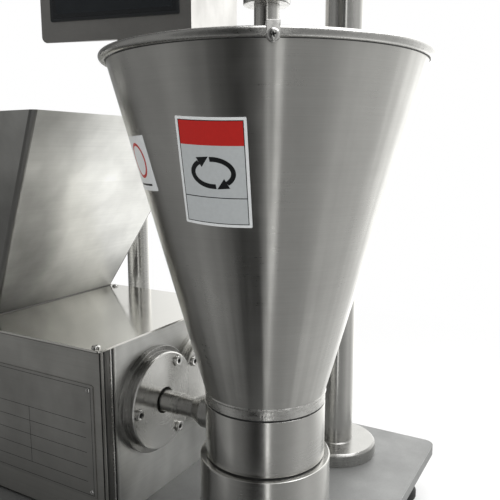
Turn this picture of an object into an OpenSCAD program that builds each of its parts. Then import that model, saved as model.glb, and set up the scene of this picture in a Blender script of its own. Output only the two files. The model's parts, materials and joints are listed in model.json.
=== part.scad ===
// Hopper-fed filling machine. A cone hopper with an agitator feeds a pump neck, and the filling pipe runs
// through the hollow feed screw of a twin-screw drive box to a nozzle, where the dough closes round it.
// Millimetres. X runs along the drive box towards the cone hopper, Y to the rear, Z up.

/* [Base plate and feet] */
// Width of the base plate
plate_w = 760; // [700:5:900]
// Depth of the base plate
plate_d = 520; // [480:5:640]
// Thickness of the base plate
plate_t = 15; // [14:1:25]
// Corner radius of the base plate
plate_r = 15; // [5:1:40]
// Distance from the hopper axis to the plate's right edge
plate_right = 122; // [110:1:200]
// Distance from the hopper axis to the plate's rear edge
plate_rear = 321; // [300:1:400]
// Height of the levelling feet under the plate
foot_h = 60; // [52:1:110]
// Radius of a rubber foot
foot_r = 30; // [22:1:38]

/* [Cone hopper] */
// Outer diameter over the rolled rim
rim_d = 340; // [300:1:408]
// Diameter of the rolled bead
bead_d = 8.4; // [6:0.2:12]
// Height of the cone between its band and the bead
cone_h = 347; // [280:1:420]
// Height of the welded band under the cone
band_h = 12; // [8:1:24]
// Thickness of the hopper sheet
hopper_t = 1.5; // [1:0.1:2.5]

/* [Pump neck and base] */
// Outer diameter of the pump neck and the hopper band
neck_d = 135; // [125:1:160]
// Height of the pump neck
neck_h = 61; // [52:1:80]
// Diameter of the pump chamber
chamber_d = 112; // [94:1:118]
// Outer diameter of the pump base
pump_base_d = 148; // [140:1:178]
// Height of the pump base
pump_base_h = 100; // [84:1:130]
// Thickness of each seal
seal_t = 2; // [1:0.5:4]

/* [Agitator] */
// Diameter of the agitator shaft
shaft_d = 26; // [22:1:31]
// Free height of the shaft above the rim
shaft_rise = 76; // [60:1:120]
// Gap between the scraper and the hopper wall
scraper_gap = 8; // [4:1:14]
// Number of pump rotor vanes
vanes = 4; // [3:1:8]

/* [Filling pipe] */
// Outer diameter of the filling pipe
pipe_d = 25; // [20:0.5:26]
// Wall of the filling pipe and the inner tube
pipe_t = 1.5; // [1:0.1:2.5]
// Outer diameter of the tube inside the feed screw
tube_d = 24; // [20:0.5:25]
// Outer diameter of the union sleeve
union_d = 26.8; // [26.5:0.1:32]

/* [Drive box] */
// Length of the drive box
box_w = 440; // [400:1:528]
// Depth of the drive box with its front cover
box_d = 271; // [268:1:325]
// Height of the drive box with its lid
box_h = 218; // [214:1:262]
// Distance from the hopper axis to the box's right face
box_right = 160; // [150:1:190]
// Distance from the hopper axis to the box's front face
box_front = 94; // [90:1:110]
// Sheet thickness of the housing
sheet_t = 2; // [1.5:0.5:3]
// Thickness of the lid
lid_t = 2.5; // [1.5:0.5:4]
// Depth of the front cover
cover_d = 27; // [20:1:32]
// Recess of the shadow groove behind the front cover's face
groove = 6; // [3:1:9]

/* [Feed screws and gears] */
// Gear module
gear_m = 2; // [2:0.05:2.2]
// Teeth of the two screw gears
gear_z = 50; // [50:1:54]
// Teeth of the motor pinion
pinion_z = 24; // [24:1:28]
// Face width of the gears
gear_w = 20; // [12:1:26]
// Diameter of the feed screws
screw_d = 72; // [62:1:76]
// Pitch of the feed screws
screw_pitch = 46; // [36:1:60]
// Outer diameter of the feed screws' shafts
hollow_d = 35; // [32:1:37]
// Bore of the hollow shaft
hollow_bore = 27; // [26.5:0.5:29]
// Height of the screws above the base plate
pipe_z = 129.5; // [124:0.5:136]

/* [Bearing caps] */
// Diameter of a bearing cap's raised face
cap_d = 122; // [112:1:130]
// Diameter of a bearing cap's base disc
cap_base_d = 134; // [124:1:146]
// Thickness of the base disc
cap_base_t = 8; // [5:1:12]
// Thickness of the raised face
cap_face_t = 10; // [9:1:16]
// Hole for the pipe
cap_hole_d = 33; // [33:0.5:44]
// Diameter of the screw circle
cap_pcd = 102; // [90:1:106]

/* [Feed hopper] */
// Length of the feed hopper's base
feed_w = 174; // [150:1:208]
// Distance from the box's right face to the feed hopper's base
feed_gap = 226; // [200:1:250]
// Depth of the feed hopper's base
feed_d = 229; // [200:1:236]
// Height of the feed hopper
feed_h = 262; // [210:1:314]
// Flare of the right side
flare_right = 186; // [120:1:200]
// Flare of the front side
flare_front = 77; // [40:1:100]
// Flare of the left side
flare_left = 40; // [20:1:60]

/* [Posts] */
// Distance of both posts behind the hopper axis
post_y = 226; // [224:1:250]
// Diameter of the agitator post
rear_post_d = 50.8; // [42:0.1:60]
// Diameter of the screen box post
front_post_d = 38; // [32:1:46]
// Wall of the posts
post_t = 3; // [2:0.5:4]
// Diameter of the agitator post's flange
post_flange_d = 118; // [108:1:140]
// Height of the agitator post's flange
post_flange_h = 19; // [14:1:30]

/* [Screen box] */
// Distance from the box's right face to the screen box post
front_post_gap = 210; // [190:1:230]
// Swivel of the screen box at rest, in degrees
panel_turn = 13.5; // [0:0.5:20]
// Width of the screen box
panel_w = 255; // [240:1:306]
// Height of the screen box
panel_h = 266; // [262:1:320]
// Depth of the screen box
panel_d = 224; // [187:1:260]
// Height of the screen box above the base plate
panel_z = 608; // [580:1:640]
// Width of the screen frame
screen_w = 219; // [190:1:225]
// Height of the screen frame
screen_h = 150; // [130:1:160]

/* [Outlet] */
// Outer diameter of the nozzle spigot
spigot_d = 44; // [40:1:46]
// Length of the nozzle spigot
spigot_l = 50; // [30:1:80]
// Bore of the nozzle
nozzle_bore = 36; // [33:1:37]

/* [Hidden] */
$fn = 96;

run_fit = 0.05;      // radial clearance of a shaft in its bearing
free_gap = 0.4;      // clearance between free moving faces
backlash = 0.5;      // thinning of each gear tooth
skin = 1.2;          // thickness of the rating plate

// Base
plate_left = plate_w - plate_right;
plate_front = plate_d - plate_rear;
foot_inset = 45;
pad_h = 25;
stud_r = 6;
stud_depth = 10;
nut_r = 11;
nut_h = 8;
foot_xs = [-plate_left + foot_inset, plate_right - foot_inset];
foot_ys = [-plate_front + foot_inset, plate_rear - foot_inset];

// Pump and hopper, from the plate upwards
neck_z0 = pump_base_h + seal_t;
neck_z1 = neck_z0 + neck_h;
band_z0 = neck_z1 + seal_t;
cone_z0 = band_z0 + band_h;
cone_z1 = cone_z0 + cone_h;
bead_r = bead_d / 2;
bead_z = cone_z1 + bead_r;
rim_z = bead_z + bead_r;
neck_r = neck_d / 2;
bead_ring_r = rim_d / 2 - bead_r;
cone_r1 = bead_ring_r - bead_r + 1;
cone_slope = (cone_r1 - neck_r) / (cone_z1 - cone_z0);
chamber_r = chamber_d / 2;
pump_foot_r = pump_base_d / 2 + 18;
pump_foot_t = 10;
pump_floor_t = 14;
pump_cavity_r = pump_base_d / 2 - 12;
pump_screws = 6;

// Fasteners
cap_head_r = 6.5;
cap_head_h = 8;
cap_shank_r = 4;
cap_sink = 4;        // depth of the counterbore that a cap screw's head sits in
pan_head_r = 5;
pan_head_h = 3.4;
pan_shank_r = 2.5;

// Agitator
shaft_r = shaft_d / 2;
journal_r = shaft_r - 3;
shaft_z0 = neck_z0 + 2.5;
shaft_z1 = rim_z + shaft_rise;
bush_t = 5;
bar_angle = -60;
bar_w = 11;
bar_t = 3;
bar_drop = 11.2;     // from the bar's top face to its screw
bush_r = shaft_r + bush_t;
coupling_r = shaft_r + 11;
coupling_h = 48;
coupling_z = shaft_z1 - coupling_h / 2;
output_r = 9;
blade_t = 4;
blade_w = 22;
rotor_hub_r = shaft_r + 9;

// Filling pipe along X
pipe_r = pipe_d / 2;
tube_r = tube_d / 2;
union_r = union_d / 2;
cap_x = -box_right + cap_base_t + cap_face_t;
union_x0 = cap_x - 8;
union_x1 = cap_x + 27;
union_mid = cap_x + 14;
collar_r = 20;
collar_x = -neck_r - 26.5;

// Drive box
wall_x = -box_right - sheet_t;
box_left = -box_right - box_w;
box_rear = box_d - box_front;
body_front = -box_front + cover_d;
lid_z = box_h - lid_t;
lid_lip = 2;
lip_w = 12;
cover_gap = 1.5;
pan_d = 8;
screw_gap = gear_m * gear_z;
mesh_r = gear_m * (gear_z + pinion_z) / 2;
pinion_angle = -60;
pinion_y = screw_gap + mesh_r * cos(pinion_angle);
pinion_z0 = pipe_z + mesh_r * sin(pinion_angle);
plate_thick = 14;
gear_bay = 72;
right_plate_x = wall_x - plate_thick;
left_plate_x = right_plate_x - gear_bay - plate_thick;
gear_x = right_plate_x - gear_bay / 2 - gear_w / 2;
gear_plate_y0 = -60;
gear_plate_y1 = pinion_y + 31;
gear_plate_top = box_h - 13;
bearing_r = 31;
hollow_r = hollow_d / 2;
pinion_shaft_r = 6;
barrel_r = screw_d / 2 + free_gap;
barrel_out_r = screw_d / 2 + 6;
barrel_x0 = box_left + sheet_t;
barrel_top = pipe_z + barrel_out_r;
nozzle_flange_r = spigot_d / 2 + 15;
nozzle_pcr = spigot_d / 2 + 8;
block_pcr = max(barrel_r + 8.1, nozzle_flange_r + cap_head_r + 1);
block_r = block_pcr + 7.5;
block_l = 40;
block_x = box_left - block_l;
barrel_flange_t = 12;
screw_x0 = barrel_x0 + 4;
nozzle_x = block_x - 10 - spigot_l;
motor_r = 30;
gearhead_l = 60;
motor_l = 110;
cap_second_angles = [20, 140, 260];
cap_main_angles = [60, 180, 300];
cap_screw_l = cap_base_t + cap_face_t - cap_sink + sheet_t + plate_thick - 2;
lid_screw_xs = [-box_right - 10, -box_right - feed_gap + 14, box_left + 10];
lid_screw_ys = [-box_front - lid_lip + 8, box_rear - 10];
cover_screw_xs = [-box_right - 20, -box_right - box_w / 2, box_left + 20];
cover_screw_z = 16;
plate_size = [200, 140];
plate_x = -box_right - 11 - plate_size[0];
plate_z = lid_z - 40.5 - plate_size[1];
rivet_inset = 7;

// Feed hopper
feed_x1 = -box_right - feed_gap;
feed_x0 = feed_x1 - feed_w;
feed_y1 = box_rear - 3;
feed_y0 = feed_y1 - feed_d;
feed_t = 1.5;
throat_t = 4;
throat_x0 = feed_x0 + 2;
throat_x1 = feed_x1 - 2;
throat_y0 = -barrel_r - throat_t + 2;
throat_y1 = screw_gap + barrel_r + throat_t - 2;

// Posts, arm and motor
rear_post_x = -4;
rear_post_r = rear_post_d / 2;
front_post_x = -box_right - front_post_gap;
front_post_r = front_post_d / 2;
front_flange_r = front_post_r + 9;
front_flange_h = 15;
post_bolt_r = 5;
post_bolt_l = 12;
arm_z = shaft_z1 + coupling_h / 2 + 20;
arm_t = 20;
arm_w = 50;
clamp_r = rear_post_r + 13;
clamp_h = 50;
platform_r = 62;
gearbox_w = 96;
gearbox_h = 66;
gearbox_z = arm_z + arm_t;
motor_z = gearbox_z + gearbox_h;
motor_h = 84;
motor_body_r = 39;
motor_fin_r = 45;
fins = 24;
cowl_r = 48;
cowl_h = 38;

// Screen box, in its own axes with the post at the origin and its face towards -Y
panel_front = 61;
panel_rear = panel_d - panel_front;
panel_rise = 42;     // how far the underside rises towards the rear
panel_r = 10;
panel_t = 2;
socket_r = front_post_r + 5;
socket_z = panel_z - 33;
socket_top = panel_z + 30;
socket_floor = 6;
screen_z = panel_z + 31;
screen_proud = 2;
screen_deep = 24;
screen_lip = 9;
button_z = screen_z + screen_h + 42;
start_x = -78;
stop_x = -30;
estop_x = 66;
button_r = 10;
button_travel = 3;
estop_r = 19;
estop_stem_r = 8;
estop_travel = 5;
bezel_h = 5;
bezel_r = 15;

// Whole model
x_low = nozzle_x;
x_high = rim_d / 2;
y_low = min(-plate_front, -rim_d / 2);
corner_y = panel_rear * cos(panel_turn) + (panel_w / 2) * sin(panel_turn);
y_high = max(plate_rear, post_y + corner_y);
z_low = -plate_t - foot_h;

module placed() translate([-(x_low + x_high) / 2, -(y_low + y_high) / 2, -z_low]) children();
module steel() color([0.72, 0.72, 0.69]) children();
module dark_steel() color([0.42, 0.41, 0.39]) children();
module along_x(x, y, z) translate([x, y, z]) rotate([0, 90, 0]) children();
module box(lo, hi) translate(lo) cube([hi[0] - lo[0], hi[1] - lo[1], hi[2] - lo[2]]);
module tube(r, bore, h) difference() {
    cylinder(r = r, h = h);
    translate([0, 0, -1]) cylinder(r = bore, h = h + 2);
}
module rounded(w, d, r) {
    square([w - 2 * r, d], center = true);
    square([w, d - 2 * r], center = true);
    for (x = [-1, 1], y = [-1, 1]) translate([x * (w / 2 - r), y * (d / 2 - r)]) circle(r);
}
// Two parallel cylinders along X joined by a flat web, round both screws
module twin(x0, x1, r) {
    for (y = [0, screw_gap]) along_x(x0, y, pipe_z) cylinder(r = r, h = x1 - x0);
    box([x0, 0, pipe_z - r], [x1, screw_gap, pipe_z + r]);
}
// A cap screw whose head rests on z = 0 and whose shank points down
module cap_screw(l) {
    difference() {
        cylinder(r = cap_head_r, h = cap_head_h);
        translate([0, 0, cap_head_h - 4]) cylinder(r = 3.5, h = 5, $fn = 6);
    }
    translate([0, 0, -l]) cylinder(r = cap_shank_r, h = l + 1);
}
// A pan-head screw with a cross recess, its head resting on z = 0
module pan_screw(l) {
    difference() {
        rotate_extrude() intersection() {
            translate([0, -pan_head_r * 1.3]) circle(pan_head_r * 1.3 + pan_head_h);
            square([pan_head_r, pan_head_h]);
        }
        for (a = [0, 90]) rotate([0, 0, a + 30])
            translate([-2.8, -0.6, pan_head_h - 1.8]) cube([5.6, 1.2, 3]);
    }
    translate([0, 0, -l]) cylinder(r = pan_shank_r, h = l + 1);
}

// ---- Base ----
module base_plate() placed() color([0.6, 0.61, 0.61]) difference() {
    translate([(plate_right - plate_left) / 2, (plate_rear - plate_front) / 2, -plate_t])
        linear_extrude(plate_t) rounded(plate_w, plate_d, plate_r);
    for (x = foot_xs, y = foot_ys)
        translate([x, y, -plate_t - 1]) cylinder(r = stud_r, h = stud_depth + 1);
    at_pump_screws() translate([0, 0, -12]) cylinder(r = cap_shank_r, h = 13);
    at_post_bolts() translate([0, 0, -plate_t - 1]) cylinder(r = post_bolt_r, h = plate_t + 2);
}
module foot_pads() placed() color([0.12, 0.12, 0.12]) for (x = foot_xs, y = foot_ys)
    translate([x, y, z_low]) rotate_extrude()
        polygon([[0, 0], [foot_r, 0], [foot_r, 8], [foot_r - 9, pad_h], [0, pad_h]]);
module foot_studs() placed() steel() for (x = foot_xs, y = foot_ys) translate([x, y, 0]) {
    translate([0, 0, z_low + pad_h]) cylinder(r = stud_r, h = foot_h - pad_h + stud_depth);
    translate([0, 0, -plate_t - nut_h]) cylinder(r = nut_r, h = nut_h, $fn = 6);
}

// ---- Drive box ----
module drive_housing() placed() steel() difference() {
    box([box_left, body_front, 0], [-box_right, box_rear, lid_z]);
    box([box_left + sheet_t, body_front + sheet_t, sheet_t],
        [wall_x, box_rear - sheet_t, lid_z - sheet_t]);
    box([box_left + lip_w, body_front + lip_w, lid_z - 2 * sheet_t],
        [wall_x - lip_w, box_rear - lip_w, lid_z + 1]);
    box([box_left + lip_w, body_front - 1, lip_w],
        [wall_x - lip_w, body_front + 2 * sheet_t, lid_z - lip_w]);
    along_x(wall_x - 1, 0, pipe_z) cylinder(d = cap_hole_d, h = sheet_t + 2);
    for (y = [0, screw_gap])
        along_x(box_left - 1, y, pipe_z) cylinder(r = barrel_r, h = sheet_t + 2);
    at_cap_screws() translate([0, 0, -cap_screw_l]) cylinder(r = cap_shank_r, h = cap_screw_l);
    at_block_screws() translate([0, 0, -60]) cylinder(r = cap_shank_r, h = 60);
    for (x = lid_screw_xs)
        translate([x, lid_screw_ys[1], lid_z - 10]) cylinder(r = pan_shank_r, h = 20);
    translate([gland_x, box_rear - 5, gland_z]) rotate([-90, 0, 0]) cylinder(r = gland_r, h = 10);
}
module front_cover() placed() dark_steel() difference() {
    union() {
        box([box_left, -box_front, cover_gap * 2], [-box_right, -box_front + pan_d, lid_z - cover_gap]);
        box([box_left + groove, -box_front + pan_d - 1, 2 * cover_gap + groove],
            [-box_right - groove, body_front, lid_z - cover_gap - groove]);
    }
    box([box_left + sheet_t, -box_front + sheet_t, 2 * cover_gap + sheet_t],
        [-box_right - sheet_t, -box_front + pan_d - sheet_t, lid_z - cover_gap - sheet_t]);
    box([box_left + groove + sheet_t, -box_front + sheet_t, 2 * cover_gap + groove + sheet_t],
        [-box_right - groove - sheet_t, body_front + 1, lid_z - cover_gap - groove - sheet_t]);
    for (x = lid_screw_xs)
        translate([x, lid_screw_ys[0], lid_z - 10]) cylinder(r = pan_shank_r, h = 12);
    for (x = cover_screw_xs) translate([x, -box_front - 1, cover_screw_z])
        rotate([-90, 0, 0]) cylinder(r = pan_shank_r, h = 6);
    for (x = [0, 1], z = [0, 1]) at_rivet(x, z) cylinder(r = 1.6, h = 8, center = true);
}
module housing_lid() placed() color([0.78, 0.77, 0.73]) difference() {
    translate([-box_right - box_w / 2, (box_rear - box_front) / 2, lid_z]) linear_extrude(lid_t)
        rounded(box_w + 2 * lid_lip, box_d + 2 * lid_lip, 4);
    box([throat_x0 + throat_t, throat_y0 + throat_t, lid_z - 1],
        [throat_x1 - throat_t, throat_y1 - throat_t, box_h + 1]);
    for (x = lid_screw_xs, y = lid_screw_ys)
        translate([x, y, lid_z - 1]) cylinder(r = pan_shank_r, h = lid_t + 2);
}
module at_rivet(i, k) translate([plate_x + rivet_inset + i * (plate_size[0] - 2 * rivet_inset), -box_front,
    plate_z + rivet_inset + k * (plate_size[1] - 2 * rivet_inset)]) rotate([90, 0, 0]) children();
module rating_plate() placed() color([0.5, 0.49, 0.47]) difference() {
    translate([plate_x + plate_size[0] / 2, -box_front, plate_z + plate_size[1] / 2])
        rotate([90, 0, 0]) linear_extrude(skin) rounded(plate_size[0], plate_size[1], 3);
    for (i = [0, 1], k = [0, 1]) at_rivet(i, k) cylinder(r = 1.6, h = 8, center = true);
}
module rating_plate_rivets() placed() steel() for (i = [0, 1], k = [0, 1]) at_rivet(i, k) {
    translate([0, 0, -sheet_t]) cylinder(r = 1.6, h = sheet_t + skin + 0.5);
    translate([0, 0, skin]) rotate_extrude() intersection() {
        translate([0, -2.4]) circle(3.8);
        square([3, 2]);
    }
}
module pan_screws() placed() steel() {
    for (x = lid_screw_xs, y = lid_screw_ys) translate([x, y, box_h]) pan_screw(lid_t + 4);
    for (x = cover_screw_xs) translate([x, -box_front, cover_screw_z]) rotate([90, 0, 0]) pan_screw(4);
    for (s = [0, 180]) at_bar_screw(s) pan_screw(12);
}
module at_cap_screws() {
    for (a = cap_main_angles) at_cap(0, a) children();
    for (a = cap_second_angles) at_cap(screw_gap, a) children();
}
module at_cap(y, a) translate([cap_x - cap_sink, y + cap_pcd / 2 * cos(a), pipe_z + cap_pcd / 2 * sin(a)])
    rotate([0, 90, 0]) children();
module at_block_screws() for (i = [[0, 135], [0, 225], [screw_gap, 45], [screw_gap, -45]])
    translate([block_x, i[0] + block_pcr * cos(i[1]), pipe_z + block_pcr * sin(i[1])])
        rotate([0, -90, 0]) children();
module at_nozzle_screws() for (a = [0:90:270])
    translate([block_x - 10, nozzle_pcr * cos(a), pipe_z + nozzle_pcr * sin(a)])
        rotate([0, -90, 0]) children();
module at_pump_screws() for (i = [0:pump_screws - 1]) rotate([0, 0, i * 360 / pump_screws])
    translate([pump_base_d / 2 + 9, 0, 0]) children();
module cap_screws() placed() steel() {
    at_cap_screws() cap_screw(cap_screw_l);
    at_block_screws() cap_screw(block_l + sheet_t + 10);
    at_nozzle_screws() cap_screw(20);
    at_pump_screws() translate([0, 0, pump_foot_t]) cap_screw(pump_foot_t + 10);
}
module bearing_cap(y, side) difference() {
    union() {
        along_x(-box_right, y, pipe_z) cylinder(d = cap_base_d, h = cap_base_t);
        along_x(-box_right + cap_base_t, y, pipe_z) rotate_extrude() polygon([[0, 0], [cap_d / 2, 0],
            [cap_d / 2, cap_face_t - 1.5], [cap_d / 2 - 1.5, cap_face_t], [0, cap_face_t]]);
    }
    box([-box_right - 1, side > 0 ? -cap_base_d : screw_gap / 2, pipe_z - cap_base_d],
        [cap_x + 1, side > 0 ? screw_gap / 2 : screw_gap + cap_base_d, pipe_z + cap_base_d]);
    at_cap_screws() {
        translate([0, 0, -30]) cylinder(r = cap_shank_r, h = 31);
        cylinder(r = cap_head_r + 0.5, h = cap_sink + 1);
    }
}
module main_bearing_cap() placed() steel() difference() {
    bearing_cap(0, -1);
    along_x(-box_right - 1, 0, pipe_z) cylinder(d = cap_hole_d, h = cap_base_t + cap_face_t + 2);
}
module second_bearing_cap() placed() steel() bearing_cap(screw_gap, 1);
module gear_plate(x) difference() {
    box([x, gear_plate_y0, sheet_t], [x + plate_thick, gear_plate_y1, gear_plate_top]);
    for (y = [0, screw_gap])
        along_x(x - 1, y, pipe_z) cylinder(r = bearing_r, h = plate_thick + 2);
    children();
}
module right_gear_plate() placed() steel() gear_plate(right_plate_x) {
    union() {
        along_x(right_plate_x - 1, pinion_y, pinion_z0)
            cylinder(r = pinion_shaft_r + run_fit, h = plate_thick + 2);
        at_cap_screws() translate([0, 0, -cap_screw_l]) cylinder(r = cap_shank_r, h = cap_screw_l);
    }
}
module left_gear_plate() placed() steel() gear_plate(left_plate_x)
    along_x(left_plate_x - 1, pinion_y, pinion_z0)
        cylinder(r = pinion_shaft_r + 2, h = plate_thick + 2);
module screw_bearings() placed() color([0.8, 0.8, 0.82])
    for (x = [right_plate_x, left_plate_x], y = [0, screw_gap])
        along_x(x, y, pipe_z) tube(bearing_r, hollow_r + run_fit, plate_thick);
module screw_barrel() placed() steel() difference() {
    union() {
        twin(barrel_x0, left_plate_x, barrel_out_r);
        twin(barrel_x0, barrel_x0 + barrel_flange_t, block_r);
        box([throat_x0, -barrel_out_r, pipe_z], [throat_x1, screw_gap + barrel_out_r, barrel_top]);
    }
    for (y = [0, screw_gap])
        along_x(barrel_x0 - 1, y, pipe_z) cylinder(r = barrel_r, h = left_plate_x - barrel_x0 + 2);
    box([throat_x0 + throat_t, -barrel_r, pipe_z],
        [throat_x1 - throat_t, screw_gap + barrel_r, barrel_top + 1]);
    at_block_screws() translate([0, 0, -60]) cylinder(r = cap_shank_r, h = 60);
}
module feed_throat() placed() steel() difference() {
    box([throat_x0, throat_y0, barrel_top], [throat_x1, throat_y1, lid_z]);
    box([throat_x0 + throat_t, throat_y0 + throat_t, barrel_top - 1],
        [throat_x1 - throat_t, throat_y1 - throat_t, lid_z + 1]);
}
module outlet_block() placed() steel() difference() {
    twin(block_x, box_left, block_r);
    for (y = [0, screw_gap])
        along_x(block_x + 12, y, pipe_z) cylinder(r = barrel_r, h = block_l);
    box([block_x + 12, 0, pipe_z - nozzle_bore / 2], [box_left + 1, screw_gap, pipe_z + nozzle_bore / 2]);
    along_x(block_x - 1, 0, pipe_z) cylinder(d = nozzle_bore, h = block_l);
    at_block_screws() translate([0, 0, -60]) cylinder(r = cap_shank_r, h = 70);
    at_nozzle_screws() translate([0, 0, -20]) cylinder(r = cap_shank_r, h = 21);
}
module outlet_nozzle() placed() steel() difference() {
    union() {
        along_x(block_x - 10, 0, pipe_z) cylinder(r = nozzle_flange_r, h = 10);
        along_x(nozzle_x, 0, pipe_z) cylinder(d = spigot_d, h = spigot_l + 1);
    }
    along_x(nozzle_x - 1, 0, pipe_z) cylinder(d = nozzle_bore, h = spigot_l + 12);
    at_nozzle_screws() translate([0, 0, -20]) cylinder(r = cap_shank_r, h = 21);
}
module inner_tube() placed() steel()
    along_x(nozzle_x, 0, pipe_z) tube(tube_r, tube_r - pipe_t, union_mid - nozzle_x);
module drive_gearmotor() placed() color([0.25, 0.3, 0.36]) difference() {
    union() {
        along_x(left_plate_x - gearhead_l, pinion_y, pinion_z0) cylinder(r = motor_r, h = gearhead_l);
        along_x(left_plate_x - gearhead_l - motor_l, pinion_y, pinion_z0)
            cylinder(r = motor_r - 2, h = motor_l + 1);
    }
    along_x(left_plate_x - 14, pinion_y, pinion_z0) cylinder(r = pinion_shaft_r + run_fit, h = 15);
}

// ---- Feed screws and gears, turning about X ----
function involute(a) = tan(a) * 180 / PI - a;
function gear_half(r, rb, half) = half + involute(20) - involute(acos(min(1, rb / r)));
function tooth(m, z, n) = let(rp = m * z / 2, rb = rp * cos(20), low = max(rb, rp - 1.25 * m), top = rp + m,
        half = 90 / z - backlash / 2 / rp * 180 / PI)
    concat([[rp - 1.25 * m, -gear_half(low, rb, half)]],
        [for (i = [0:n]) let(r = low + (top - low) * i / n) [r, -gear_half(r, rb, half)]],
        [for (i = [n:-1:0]) let(r = low + (top - low) * i / n) [r, gear_half(r, rb, half)]],
        [[rp - 1.25 * m, gear_half(low, rb, half)]]);
module gear(m, z, w, bore, phase) difference() {
    linear_extrude(w) polygon([for (k = [0:z - 1], p = tooth(m, z, 3))
        p[0] * [cos(p[1] + phase + k * 360 / z), sin(p[1] + phase + k * 360 / z)]]);
    translate([0, 0, -1]) cylinder(r = bore, h = w + 2);
}
// Turns a shape drawn about Z so that it lies about X, with its 0 degree mark towards +Y
module on_x(x, y, z) translate([x, y, z]) rotate([90, 0, 90]) children();
flight_l = left_plate_x - 8 - screw_x0;
module flight(hand) linear_extrude(height = flight_l, twist = hand * 360 * flight_l / screw_pitch,
        slices = 20 * ceil(flight_l / screw_pitch), $fn = 8)
    polygon(concat([for (a = [-15:10:15]) screw_d / 2 * [cos(a), sin(a)]],
        [for (a = [15:-15:-15]) (hollow_r - 0.5) * [cos(a), sin(a)]]));
second_phase = 180 / gear_z;
pinion_pitch = 360 / pinion_z;
pinion_phase = 180 + pinion_angle
    + ((pinion_angle - second_phase) * gear_z / 360 + 0.5) * pinion_pitch;
module main_screw_shaft() placed() steel()
    along_x(screw_x0, 0, pipe_z) tube(hollow_r, hollow_bore / 2, wall_x - 2 - screw_x0);
module second_screw_shaft() placed() steel()
    along_x(screw_x0, screw_gap, pipe_z) cylinder(r = hollow_r, h = wall_x - 2 - screw_x0);
module main_screw_flight() placed() steel() on_x(screw_x0, 0, pipe_z) flight(1);
module second_screw_flight() placed() steel() on_x(screw_x0, screw_gap, pipe_z) flight(-1);
module main_screw_gear() placed() color([0.5, 0.5, 0.5])
    on_x(gear_x, 0, pipe_z) gear(gear_m, gear_z, gear_w, hollow_r, 0);
module second_screw_gear() placed() color([0.5, 0.5, 0.5])
    on_x(gear_x, screw_gap, pipe_z) gear(gear_m, gear_z, gear_w, hollow_r, second_phase);
module motor_pinion() placed() color([0.6, 0.6, 0.58]) {
    on_x(gear_x, pinion_y, pinion_z0) gear(gear_m, pinion_z, gear_w, pinion_shaft_r, pinion_phase);
    along_x(left_plate_x - 12, pinion_y, pinion_z0)
        cylinder(r = pinion_shaft_r, h = wall_x - 1 - left_plate_x + 12);
}

// ---- Feed hopper ----
module feed_shape(inset, z0, z1) hull() {
    box([feed_x0 + inset, feed_y0 + inset, box_h + z0],
        [feed_x1 - inset, feed_y1 - inset, box_h + z0 + 0.01]);
    box([feed_x0 - flare_left + inset, feed_y0 - flare_front + inset, box_h + z1 - 0.01],
        [feed_x1 + flare_right - inset, feed_y1 - inset, box_h + z1]);
}
module feed_hopper() placed() color([0.77, 0.77, 0.74]) difference() {
    feed_shape(0, 0, feed_h);
    feed_shape(feed_t, -0.005, feed_h + 0.005);
}
gland_x = box_left + 100;
gland_z = 60;
gland_r = 8;
gland_bore = 4.5;
module cable_gland() placed() color([0.15, 0.15, 0.15]) translate([gland_x, box_rear, gland_z])
    rotate([-90, 0, 0]) difference() {
        union() {
            translate([0, 0, -8]) cylinder(r = gland_r, h = 9);
            cylinder(r = 13, h = 7, $fn = 6);
            translate([0, 0, 6]) cylinder(r1 = 10.5, r2 = 8, h = 17);
        }
        translate([0, 0, -9]) cylinder(r = gland_bore, h = 40);
    }

// ---- Pump and cone hopper ----
module pump_base() placed() steel() difference() {
    union() {
        cylinder(d = pump_base_d, h = pump_base_h);
        cylinder(r = pump_foot_r, h = pump_foot_t);
    }
    translate([0, 0, -1]) cylinder(r = pump_cavity_r, h = pump_base_h - pump_floor_t + 1);
    cylinder(r = journal_r + bush_t, h = pump_base_h + 1);
    at_pump_screws() translate([0, 0, -1]) cylinder(r = cap_shank_r, h = pump_foot_t + 2);
}
module pump_neck() placed() steel() translate([0, 0, neck_z0]) difference() {
    tube(neck_r, chamber_r, neck_h);
    along_x(-neck_r - 1, 0, pipe_z - neck_z0) cylinder(r = pipe_r, h = neck_r);
}
module neck_seals() placed() color([0.08, 0.08, 0.08]) for (z = [pump_base_h, neck_z1])
    translate([0, 0, z]) tube(neck_r - 0.6, chamber_r + 1, seal_t);
module shaft_bushes() placed() color([0.75, 0.62, 0.35]) {
    translate([0, 0, pump_base_h - pump_floor_t])
        tube(journal_r + bush_t, journal_r + run_fit, pump_floor_t);
    translate([0, 0, rim_z - 8]) tube(bush_r, shaft_r + run_fit, bar_t + 16);
}
module hopper() placed() color([0.62, 0.62, 0.6]) difference() {
    rotate_extrude() {
        polygon([[neck_r, band_z0], [neck_r, cone_z0], [cone_r1, cone_z1], [cone_r1 + 1, bead_z],
            [cone_r1 + 1 - hopper_t, bead_z], [cone_r1 - hopper_t, cone_z1],
            [neck_r - hopper_t, cone_z0], [neck_r - hopper_t, band_z0]]);
        translate([bead_ring_r, bead_z]) circle(bead_r);
    }
    for (s = [0, 180]) at_bar_screw(s) translate([0, 0, -20]) cylinder(r = pan_shank_r, h = 21);
}
module at_bar_screw(s) rotate([0, 0, bar_angle + s])
    translate([rim_d / 2 + bar_t, 0, rim_z + bar_t - bar_drop]) rotate([0, 90, 0]) children();
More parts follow.
